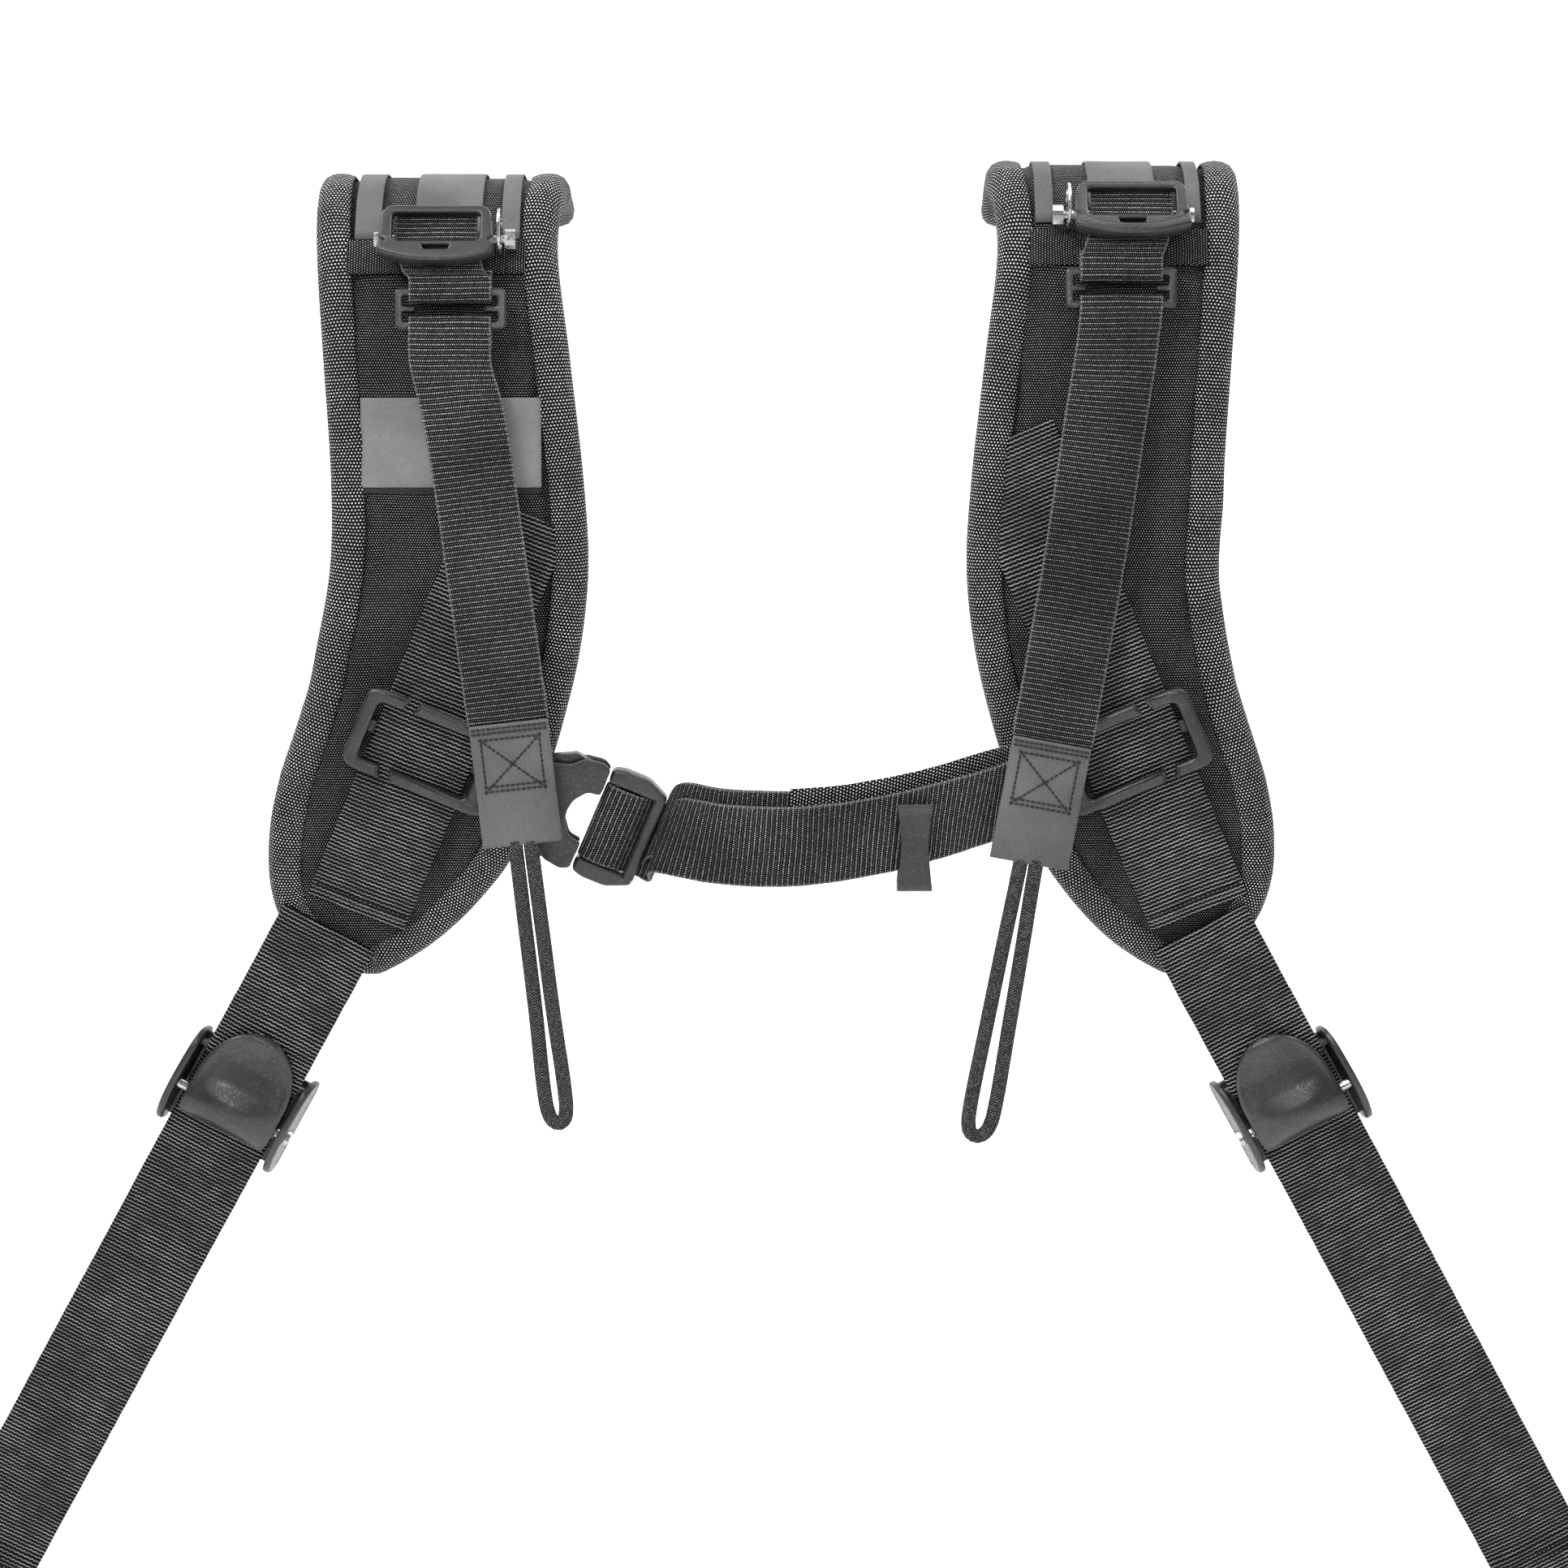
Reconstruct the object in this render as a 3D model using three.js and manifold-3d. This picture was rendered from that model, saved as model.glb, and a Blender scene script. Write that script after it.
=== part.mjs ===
// A chest harness for binoculars: two shoulder pads joined by a sternum strap, with lifter
// straps on top and cam buckles on the lower straps. Millimetres, +Z up, the front faces -Y.
// "left" and "right" are as seen from the front.
import * as THREE from 'three';
import { mergeVertices } from 'three/addons/utils/BufferGeometryUtils.js';
import Module from 'manifold-3d';

const wasm = await Module();
wasm.setup();

// ---- sizes ----
const PAD_THICK = 9;
const BAND_WIDTH = 10.5;
const BAND_HEIGHT = 5.6;
const WEB_THICK = 1.2;
const LIFTER_WEB = 25;
const STRAP_WEB = 32;
const STERNUM_WEB = 25;
const TAPE_THICK = 0.8;
const PIN_R = 1.5;
const HOLE_R = 1.8;
const PIN_HEIGHT = 9.6;
const LOCK_WIDTH = 35;
const LOCK_LEAN = THREE.MathUtils.degToRad(7);
const LOCK_TO_PIN = 4.6;
const RING_R = 6.4;
const RING_WIRE = 0.55;
const CORD_D = 3.4;
const SLIDER_TILT = THREE.MathUtils.degToRad(23);
const SLIDER_Z = -158;
const SLIDER_X = 109;
const SLIDER_HALF = 13.5;
const WEB_LIFT = 9.1;
const STRAP_HEIGHT = 8;
const BUCKLE_RUN = 67.6;
const LOOP_STEP = 6;
const STRAP_TOP_Z = -215.5;
const STRAP_END = [-60, -450];

// The pad's middle line from its rear end over the shoulder and down the chest: y, z, and how much
// of a side's own lift it takes.
const PAD_PATH = [
  [0, 0, 0], [-6, 1, 0.1], [-13, 4.6, 0.5], [-22, 8.2, 0.9], [-33, 9.5, 1], [-44, 6.5, 1], [-53, -1.5, 0.9],
  [-60, -14, 0.7], [-64.5, -30, 0.5], [-68.5, -55, 0.2], [-71.5, -90, 0], [-73, -125, 0],
  [-72, -160, 0], [-69, -190, 0], [-65, -215, 0], [-61.5, -234.5, 0],
];

// The pad's outline on the chest: z, inner edge and outer edge from the middle of the harness.
const PAD_EDGES = [
  [12, 65, 142], [-5, 67.5, 141], [-41, 63.5, 138.5], [-78, 59.5, 136.5], [-104, 58.3, 137.3],
  [-129, 61, 142], [-152, 66.5, 147], [-168, 71.5, 151], [-184, 77.5, 154.3], [-199, 84.5, 155],
  [-207, 90, 153.8], [-215, 96.5, 151], [-223, 104.5, 146], [-230, 114, 138.5], [-234.5, 122, 130],
];

// What differs between the two sides, as worn: `swell` moves the outline's inner and outer edges.
const SIDES = [
  {
    name: 'left', sign: -1, lift: -2, lockX: 103.3, pinZ: -9, tabX: 100.5, gliderX: 99, gliderZ: -27,
    tail: [[98.8, -40], [94.9, -56], [88.9, -98], [82.2, -148.5]], tabEnd: [78, -186], loopEnd: [68, -275],
    outerTape: [121, 129], bandZ: [-7.5, -16.5], webbingTop: -78, strapX: [139.8, 267.6],
    swell: [[-140, 0, 0], [-168, 0, 3], [-199, 0.5, 4], [-215, 1.7, 5.5], [-223, 2.5, 5], [-234.5, 3, 3]],
  },
  {
    name: 'right', sign: 1, lift: 2, lockX: 107.4, pinZ: -2.3, tabX: 105.3, gliderX: 104, gliderZ: -21,
    tail: [[102.5, -36], [99.5, -56], [93.5, -98], [84, -154.5]], tabEnd: [77, -192], loopEnd: [62, -279],
    outerTape: [124.9, 129.3], bandZ: [-4, -13.8], webbingTop: -102, strapX: [131.5, 258.2],
    swell: [[-85, 0, 0], [-107, 0, -2.2], [-125, 0, -3], [-140, 0, -2.8], [-155, 0, -1.2], [-170, 0, 0]],
  },
];

const LOOKS = {
  shell: [0x1b1b1c, 0.92, 0], band: [0x222223, 0.95, 0], web: [0x161617, 0.8, 0], strap: [0x1d1d1e, 0.85, 0],
  tape: [0x4a4a4c, 0.75, 0], plastic: [0x1e1e20, 0.45, 0], cord: [0x18181a, 0.85, 0],
  steel: [0xb8babd, 0.25, 1], spring: [0x9fa2a6, 0.3, 1],
};

const group = new THREE.Group();
group.name = 'binocular_harness';

// ---- helpers ----
const vec = (x, y, z) => new THREE.Vector3(x, y, z);

const along = (origin, ...steps) => {
  const out = origin.clone();
  for (let i = 0; i < steps.length; i += 2) {
    out.addScaledVector(steps[i], steps[i + 1]);
  }
  return out;
};

function bare(geometry) {
  const out = geometry.clone();
  out.deleteAttribute('normal');
  out.deleteAttribute('uv');
  return mergeVertices(out, 1e-3);
}

function volume(geometry) {
  const p = geometry.attributes.position;
  const index = geometry.index.array;
  const [a, b, c] = [vec(), vec(), vec()];
  let total = 0;
  for (let i = 0; i < index.length; i += 3) {
    a.fromBufferAttribute(p, index[i]);
    b.fromBufferAttribute(p, index[i + 1]);
    c.fromBufferAttribute(p, index[i + 2]);
    total += a.dot(b.cross(c));
  }
  return total / 6;
}

// Merges a geometry's corners and turns its faces outward.
function closed(geometry) {
  const out = bare(geometry);
  if (volume(out) < 0) {
    const index = out.index.array;
    for (let i = 0; i < index.length; i += 3) {
      [index[i], index[i + 1]] = [index[i + 1], index[i]];
    }
  }
  out.computeVertexNormals();
  return out;
}

function add(name, geometry, look) {
  const [color, roughness, metalness] = LOOKS[look];
  const mesh = new THREE.Mesh(closed(geometry), new THREE.MeshStandardMaterial({ color, roughness, metalness }));
  mesh.name = name;
  group.add(mesh);
}

// A solid through rings of the same number of points, capped at both ends.
function loft(rings) {
  const n = rings[0].length;
  const points = rings.flat();
  const faces = [];
  for (let i = 0; i + 1 < rings.length; i += 1) {
    for (let j = 0; j < n; j += 1) {
      const a = i * n + j;
      const b = i * n + ((j + 1) % n);
      faces.push(a, b, b + n, a, b + n, a + n);
    }
  }
  for (const [start, flip] of [[0, true], [(rings.length - 1) * n, false]]) {
    const centre = points.length;
    const middle = vec(0, 0, 0);
    for (let j = 0; j < n; j += 1) {
      middle.addScaledVector(points[start + j], 1 / n);
    }
    points.push(middle);
    for (let j = 0; j < n; j += 1) {
      const next = start + ((j + 1) % n);
      faces.push(centre, ...(flip ? [next, start + j] : [start + j, next]));
    }
  }
  const geometry = new THREE.BufferGeometry();
  geometry.setAttribute('position', new THREE.Float32BufferAttribute(points.flatMap((p) => p.toArray()), 3));
  geometry.setIndex(faces);
  return geometry;
}

// Webbing through stations of a left edge, a right edge, a normal and a thickness.
function slab(stations) {
  return loft(stations.map(({ left, right, normal, thick }) => [
    along(left, normal, -thick / 2), along(right, normal, -thick / 2),
    along(right, normal, thick / 2), along(left, normal, thick / 2),
  ]));
}

// Webbing of even width along points, each with the direction that its face looks in.
function ribbon(points, facing, width, thick = WEB_THICK) {
  return slab(points.map((p, i) => {
    const t = points[Math.min(i + 1, points.length - 1)].clone().sub(points[Math.max(i - 1, 0)]).normalize();
    const face = Array.isArray(facing) ? facing[i] : facing;
    const across = t.clone().cross(face).normalize();
    const normal = across.clone().cross(t).normalize();
    const deep = Array.isArray(thick) ? thick[i] : thick;
    return { left: along(p, across, -width / 2), right: along(p, across, width / 2), normal, thick: deep };
  }));
}

function plate(outline, from, to, holes = []) {
  const shape = new THREE.Shape(outline.map(([x, y]) => new THREE.Vector2(x, y)));
  for (const hole of holes) {
    shape.holes.push(new THREE.Path(hole.map(([x, y]) => new THREE.Vector2(x, y))));
  }
  const geometry = new THREE.ExtrudeGeometry(shape, { depth: to - from, bevelEnabled: false });
  return geometry.translate(0, 0, from);
}

function placed(geometry, origin, ex, ey, ez) {
  return geometry.clone().applyMatrix4(new THREE.Matrix4().makeBasis(ex, ey, ez).setPosition(origin));
}

// A profile in the plane of length and height, extruded across the width.
function sideways(profile, from, to) {
  return placed(plate(profile, from, to), vec(0, 0, 0), vec(0, 1, 0), vec(0, 0, 1), vec(1, 0, 0));
}

function box(x0, x1, y0, y1, z0, z1) {
  return new THREE.BoxGeometry(x1 - x0, y1 - y0, z1 - z0).translate((x0 + x1) / 2, (y0 + y1) / 2, (z0 + z1) / 2);
}

function rod(radius, from, to, y = 0, z = 0, sides = 14) {
  const geometry = new THREE.CylinderGeometry(radius, radius, to - from, sides);
  return geometry.rotateZ(Math.PI / 2).translate((from + to) / 2, y, z);
}

function solid(geometry) {
  const g = closed(geometry);
  return new wasm.Manifold(new wasm.Mesh({
    numProp: 3,
    vertProperties: new Float32Array(g.attributes.position.array),
    triVerts: new Uint32Array(g.index.array),
  }));
}

function surface(body) {
  const mesh = body.getMesh();
  const geometry = new THREE.BufferGeometry();
  geometry.setAttribute('position', new THREE.BufferAttribute(new Float32Array(mesh.vertProperties), 3));
  geometry.setIndex(new THREE.BufferAttribute(new Uint32Array(mesh.triVerts), 1));
  return geometry;
}

const joined = (parts) => parts.map(solid).reduce((a, b) => a.add(b));

const cut = (body, parts) => parts.map(solid).reduce((a, b) => a.subtract(b), body);

const cord = (points, diameter, steps, sides = 8) => {
  const ring = Array.from({ length: sides }, (_, i) => {
    const angle = (2 * Math.PI * i) / sides;
    return new THREE.Vector2(Math.cos(angle), Math.sin(angle)).multiplyScalar(diameter / 2);
  });
  const path = new THREE.CatmullRomCurve3(points, false, 'centripetal');
  return new THREE.ExtrudeGeometry(new THREE.Shape(ring), { steps, extrudePath: path, bevelEnabled: false });
};

function table(rows, x) {
  const i = rows.findIndex((row) => row[0] <= x);
  if (i < 1) {
    return rows[i === 0 ? 0 : rows.length - 1].slice(1);
  }
  const [a, b] = [rows[i - 1], rows[i]];
  const share = (x - a[0]) / (b[0] - a[0]);
  return a.slice(1).map((v, k) => v + (b[k + 1] - v) * share);
}

const spread = (from, to, count) => Array.from({ length: count + 1 }, (_, i) => from + ((to - from) * i) / count);

// ---- a shoulder pad's own surface: u runs from its rear end to its lower end ----
function shoulder(side) {
  const curve = new THREE.CatmullRomCurve3(
    PAD_PATH.map(([y, z, share]) => vec(0, y, z + share * side.lift)), false, 'centripetal',
  );
  curve.arcLengthDivisions = 600;
  const length = curve.getLength();
  const frame = (u) => {
    const t = curve.getTangentAt(u);
    return { p: curve.getPointAt(u), t, n: vec(0, t.z, -t.y) };
  };
  const crest = spread(0, 0.4, 80).reduce((a, u) => (frame(u).p.z > frame(a).p.z ? u : a), 0);
  const at = (u, x, h) => {
    const { p, n } = frame(u);
    return vec(side.sign * x, p.y + n.y * h, p.z + n.z * h);
  };
  const atHeight = (z) => {
    let [low, high] = [crest, 1];
    for (let i = 0; i < 30; i += 1) {
      const middle = (low + high) / 2;
      [low, high] = frame(middle).p.z > z ? [middle, high] : [low, middle];
    }
    return low;
  };
  const edges = (u) => {
    const z = u < crest ? 12 : frame(u).p.z;
    const moved = table(side.swell, z);
    return table(PAD_EDGES, z).map((x, i) => x + moved[i]);
  };
  return { side, length, frame, at, atHeight, edges };
}

function padBody(pad) {
  const stations = [...spread(0, 0.86, 30), ...spread(0.872, 1, 14)];
  const half = PAD_THICK / 2;
  return loft(stations.map((u) => {
    const [inner, outer] = pad.edges(u);
    const middle = (inner + outer) / 2;
    const w = (outer - inner) / 2;
    const quarter = [[w, 0], [w - 0.8, half * 0.55], [w - 3, half]];
    const upper = [...quarter, ...quarter.slice(1).reverse().map(([x, h]) => [-x, h]), [-w, 0]];
    const ring = [...upper, ...upper.slice(1, -1).reverse().map(([x, h]) => [x, -h])];
    if (u === 0) {
      return ring.map(([x, h]) => vec(pad.side.sign * (middle + x), 0, h));
    }
    return ring.map(([x, h]) => pad.at(u, middle + x, h));
  }));
}

// The wide binding that follows the pad's edge down one side, round its lower end and up the other.
function padBand(pad) {
  const stations = [...spread(0.03, 0.86, 28), ...spread(0.87, 0.994, 12)];
  const rim = [
    ...stations.map((u) => [pad.edges(u)[1] - 0.8, u * pad.length]),
    ...stations.map((u) => [pad.edges(u)[0] + 0.8, u * pad.length]).reverse(),
  ];
  return slab(rim.map(([x, s], i) => {
    const [a, b] = [rim[Math.max(i - 1, 0)], rim[Math.min(i + 1, rim.length - 1)]];
    const run = Math.hypot(b[0] - a[0], b[1] - a[1]);
    const inward = [-(b[1] - a[1]) / run, (b[0] - a[0]) / run];
    const [x1, s1] = [x + inward[0] * BAND_WIDTH, s + inward[1] * BAND_WIDTH];
    const u1 = Math.min(1, Math.max(0, s1 / pad.length));
    return {
      left: pad.at(s / pad.length, x, BAND_HEIGHT), right: pad.at(u1, x1, BAND_HEIGHT),
      normal: pad.frame(s / pad.length).n, thick: WEB_THICK,
    };
  }));
}

function tapeAlong(pad, x, width, from, to, height, thick) {
  const stations = spread(from, to, 16);
  return ribbon(stations.map((u) => pad.at(u, x, height)), stations.map((u) => pad.frame(u).n), width, thick);
}

function patch(pad, x0, x1, z0, z1, height, thick) {
  const stations = spread(pad.atHeight(z0), pad.atHeight(z1), 4);
  return slab(stations.map((u) => ({
    left: pad.at(u, x0, height), right: pad.at(u, x1, height), normal: pad.frame(u).n, thick,
  })));
}

// The webbing sewn slantwise down the pad; it stands clear of the pad where the sternum slider runs.
function anchorWebbing(pad) {
  const [sin, cos] = [Math.sin(SLIDER_TILT), Math.cos(SLIDER_TILT)];
  const uSlider = pad.atHeight(SLIDER_Z);
  const s0 = uSlider * pad.length;
  const height = [[62, STRAP_HEIGHT], [46, STRAP_HEIGHT], [34, WEB_LIFT], [-34, WEB_LIFT], [-48, 6.5], [-110, 6.5]];
  return slab(spread(58, pad.side.webbingTop, 28).map((run) => {
    const [h] = table(height, run);
    const edge = (w) => {
      const x = SLIDER_X + run * sin + w * cos;
      const u = (s0 + run * cos - w * sin) / pad.length;
      return [x, u];
    };
    const clear = ([x, u]) => x > pad.edges(u)[0] + BAND_WIDTH + 1.4;
    let inner = -STRAP_WEB / 2;
    while (run < 0 && !clear(edge(inner)) && inner < STRAP_WEB / 2 - 1) {
      inner += 0.25;
    }
    const [[x0, u0], [x1, u1]] = [edge(inner), edge(STRAP_WEB / 2)];
    return { left: pad.at(u0, x0, h), right: pad.at(u1, x1, h), normal: pad.frame((u0 + u1) / 2).n, thick: WEB_THICK };
  }));
}

// ---- the lifter hardware on top of the pad ----
function lifter(pad) {
  const { side } = pad;
  const uPin = pad.atHeight(side.pinZ);
  const { t, n } = pad.frame(uPin);
  const sPin = uPin * pad.length;
  const out = vec(side.sign, 0, 0);
  const pin = pad.at(uPin, side.lockX, PIN_HEIGHT);
  const down = along(vec(0, 0, 0), t, Math.cos(LOCK_LEAN), n, Math.sin(LOCK_LEAN));
  const face = along(vec(0, 0, 0), n, Math.cos(LOCK_LEAN), t, -Math.sin(LOCK_LEAN));
  const lockAt = along(pin, face, LOCK_TO_PIN);
  const half = LOCK_WIDTH / 2;

  const outline = [
    [-half, -5.5], [-half + 2, -8], [half - 2, -8], [half, -5.5], [half, 6.5], [half - 1.5, 8.8],
    [10, 11.4], [0, 12.4], [-10, 11.4], [-half + 1.5, 8.8], [-half, 6.5],
  ];
  const window = [[-13.3, -5.4], [13.3, -5.4], [13.3, 4.4], [-13.3, 4.4]];
  const lip = [
    [-half, 5], [-10, 7.4], [0, 8.2], [10, 7.4], [half, 5], [half, 6.5], [half - 1.5, 8.8],
    [10, 11.4], [0, 12.4], [-10, 11.4], [-half + 1.5, 8.8], [-half, 6.5],
  ];
  const slot = [[-4.2, 5.9], [4.2, 5.9], [3.2, 7.2], [-3.2, 7.2]];
  const ear = [[-3.2, 0.4], [3.2, 0.4], [3.2, -4.8], [2.6, -6.5], [1.2, -7.6], [-1.2, -7.6], [-2.6, -6.5], [-3.2, -4.8]];
  const ears = [-1, 1].map((k) => sideways(ear, k * 15.6 - 1.5, k * 15.6 + 1.5));
  const lockBody = joined([plate(outline, 0, 2.8, [window, slot]), plate(lip, 0.2, 4.8), ...ears]);
  const lock = cut(lockBody, [rod(HOLE_R, -half - 1, half + 1, 0, -LOCK_TO_PIN)]);
  add(`${side.name}_ladder_lock`, placed(surface(lock), lockAt, out, down, face), 'plastic');

  const pinBody = joined([rod(PIN_R, -23, 18.4), rod(2.5, 17.9, 19.2), rod(3.4, -23.8, -20.6)]);
  const crossHole = new THREE.CylinderGeometry(0.95, 0.95, 5, 12).translate(-19.2, 0, 0);
  const pinSolid = cut(pinBody, [crossHole]);
  add(`${side.name}_clevis_pin`, placed(surface(pinSolid), pin, out, t, n), 'steel');

  const ringAt = along(pin, out, -19.2, n, RING_R);
  const ring = new THREE.TorusGeometry(RING_R, RING_WIRE, 8, 28);
  add(`${side.name}_split_ring`, placed(ring, ringAt, t, n, out), 'steel');

  const loopR = PIN_R + 0.5 + TAPE_THICK / 2;
  const inPad = (s, h) => pad.at(s / pad.length, side.tabX, h);
  const wrap = spread(100, -190, 12).map((a) => {
    const angle = THREE.MathUtils.degToRad(a);
    return inPad(sPin + loopR * Math.cos(angle), PIN_HEIGHT + loopR * Math.sin(angle));
  });
  const flat = spread(9, sPin - 9, 12).map((s) => inPad(s, 5.6));
  const tabPath = [...flat, inPad(sPin - 5.5, 7.4), ...wrap.slice(0, 10)];
  const facings = tabPath.map((p, i) => {
    const step = tabPath[Math.min(i + 1, tabPath.length - 1)].clone().sub(tabPath[Math.max(i - 1, 0)]);
    return vec(0, step.z, -step.y).normalize();
  });
  add(`${side.name}_centre_tab`, ribbon(tabPath, facings, 20.5, TAPE_THICK), 'tape');

  // Split-bar slider below the lock.
  const uGlide = pad.atHeight(side.gliderZ);
  const glide = pad.frame(uGlide);
  const glideAt = pad.at(uGlide, side.gliderX, 12);
  const gliderOut = [[-17, -5], [-15.8, -6.25], [15.8, -6.25], [17, -5], [17, 5], [15.8, 6.25], [-15.8, 6.25], [-17, 5]];
  const gliderHole = [
    [-14.2, -3.85], [14.2, -3.85], [14.2, -0.9], [10.5, -0.9], [10.5, 0.9], [14.2, 0.9],
    [14.2, 3.85], [-14.2, 3.85], [-14.2, 0.9], [-10.5, 0.9], [-10.5, -0.9], [-14.2, -0.9],
  ];
  const glider = plate(gliderOut, -1.2, 1.2, [gliderHole]);
  add(`${side.name}_split_bar_slider`, placed(glider, glideAt, out, glide.t, glide.n), 'plastic');

  const turnR = 2.65;
  const onGlide = (v, h, x = 0) => along(glideAt, glide.t, v, glide.n, h, out, x);
  const turn = (v0, way) => spread(90, -90, 6).map((a) => {
    const angle = THREE.MathUtils.degToRad(a);
    return onGlide(v0 + way * turnR * Math.cos(angle), turnR * Math.sin(angle));
  });
  const upper = [
    along(lockAt, face, -0.9, down, -8.4), along(lockAt, face, -1.1, down, 3),
    along(lockAt, face, -2, down, 13).setX(side.sign * (side.lockX * 0.4 + side.gliderX * 0.6)),
  ];
  const behind = [-9, -12].map((v) => onGlide(v, -turnR));
  const upperPath = [...upper, onGlide(-9, turnR + 0.6), ...turn(-5.05, 1), ...behind];
  const faceOf = (path) => path.map((p, i) => {
    const step = path[Math.min(i + 1, path.length - 1)].clone().sub(path[Math.max(i - 1, 0)]);
    return vec(0, step.z, -step.y).normalize();
  });
  add(`${side.name}_lifter_webbing`, ribbon(upperPath, faceOf(upperPath), LIFTER_WEB), 'web');

  // The tail hangs from the slider's lower bar, in front of everything on the pad.
  const top = onGlide(5.05, turnR);
  const slope = -15 / 160;
  const hang = (x, z) => vec(side.sign * x, top.y - 0.5 + slope * (top.z - z), z);
  const tailEnd = side.tail[side.tail.length - 1];
  const tailPath = [
    ...[12, 9].map((v) => onGlide(v, -turnR)), ...turn(5.05, -1).reverse(), ...side.tail.map(([x, z]) => hang(x, z)),
  ];
  add(`${side.name}_lifter_tail`, ribbon(tailPath, faceOf(tailPath).map((f) => f.negate()), LIFTER_WEB), 'web');

  const tabTop = hang(tailEnd[0] - 0.05, tailEnd[1] - 0.4);
  const tabLow = hang(...side.tabEnd);
  add(`${side.name}_pull_tab`, ribbon([tabTop, tabTop.clone().lerp(tabLow, 0.5), tabLow], vec(0, -1, 0), 24.5, 2.8), 'tape');

  const loopTop = along(tabLow, vec(0, 0, 1), -2.2);
  const [loopX, loopZ] = side.loopEnd;
  const low = vec(side.sign * loopX, loopTop.y, loopZ);
  const strand = (share, off) => along(loopTop.clone().lerp(low, share), vec(side.sign, 0, 0), off);
  const cordPath = [
    strand(0, -2.4), strand(0.3, -2.6), strand(0.6, -2.9), strand(0.88, -3.6), strand(0.965, -2.8), strand(1, 0),
    strand(0.965, 2.8), strand(0.88, 3.6), strand(0.6, 2.9), strand(0.3, 2.6), strand(0, 2.4),
  ];
  add(`${side.name}_pull_loop`, cord(cordPath, CORD_D, 44), 'cord');
}

// ---- the sternum strap's slider, at the middle of the anchor webbing ----
function sliderFrame(pad) {
  const u = pad.atHeight(SLIDER_Z);
  const { t, n } = pad.frame(u);
  const flat = (x, s) => along(vec(pad.side.sign * x, 0, 0), t, s);
  return {
    at: pad.at(u, SLIDER_X, 0), inward: flat(-Math.cos(SLIDER_TILT), Math.sin(SLIDER_TILT)),
    down: flat(Math.sin(SLIDER_TILT), Math.cos(SLIDER_TILT)), face: n,
  };
}

// Local x runs inward, y down the webbing, z out from the pad.
function sternumSlider() {
  const s = SLIDER_HALF;
  const outer = [
    [-22.5, -s + 4], [-19, -s], [-9, -s], [-10.5, -s + 4], [-18, -s + 4], [-18, s - 4],
    [-10.5, s - 4], [-9, s], [-19, s], [-22.5, s - 4],
  ];
  const inner = [
    [-6, -s], [20, -s], [24, -s + 4], [24, s - 4], [20, s], [-6, s], [-7.2, s - 4],
    [17.8, s - 4], [17.8, -s + 4], [-7.2, -s + 4],
  ];
  return [
    plate(outer, 10.2, 13.4), plate(inner, 10.2, 13.4), box(-22, -18, -6, 6, 6.7, 10.4), box(18, 22, -6, 6, 6.7, 10.4),
    box(-22, 22, -2, 2, 6.7, 8.1),
  ];
}

const FEMALE = [
  [22, -12], [34, -13], [46, -15.5], [52, -17.8], [55.5, -17], [55.2, -10], [52, -9], [47, -8], [42.5, -5],
  [41, 0], [42.5, 5], [47, 8], [52, 9], [55.2, 10], [55.5, 17], [52, 17.8], [46, 15.5], [34, 13], [22, 12],
];

function buckleSocket() {
  return [plate(FEMALE, 6.7, 8.2), plate(FEMALE, 11.9, 13.4), box(21, 28.5, -11.5, 11.5, 6.8, 13.3)];
}

const MALE_FRAME = [
  [56.2, -16.2], [58, -18], [72.5, -18.3], [75, -16], [75, 16], [72.5, 18.3], [58, 18], [56.2, 16.2],
];

function buckleTongue() {
  const window = [[60.2, -13.2], [71.4, -13.2], [71.4, 13.2], [60.2, 13.2]];
  return [plate(MALE_FRAME, 7.2, 12.8, [window]), box(64.2, 67, -14, 14, 7.8, 12)];
}

// A squeeze arm of the buckle; `k` is 1 for the lower one and -1 for the upper one.
const squeezeArm = (k) => plate(
  [[55.8, 9.4], [55.8, 12.4], [50, 16.8], [44, 17.6], [38, 14.4], [33, 11.6], [33, 8.6], [40, 11], [48, 12]]
    .map(([x, y]) => [x, y * k]), 8.5, 11.6,
);

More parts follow.
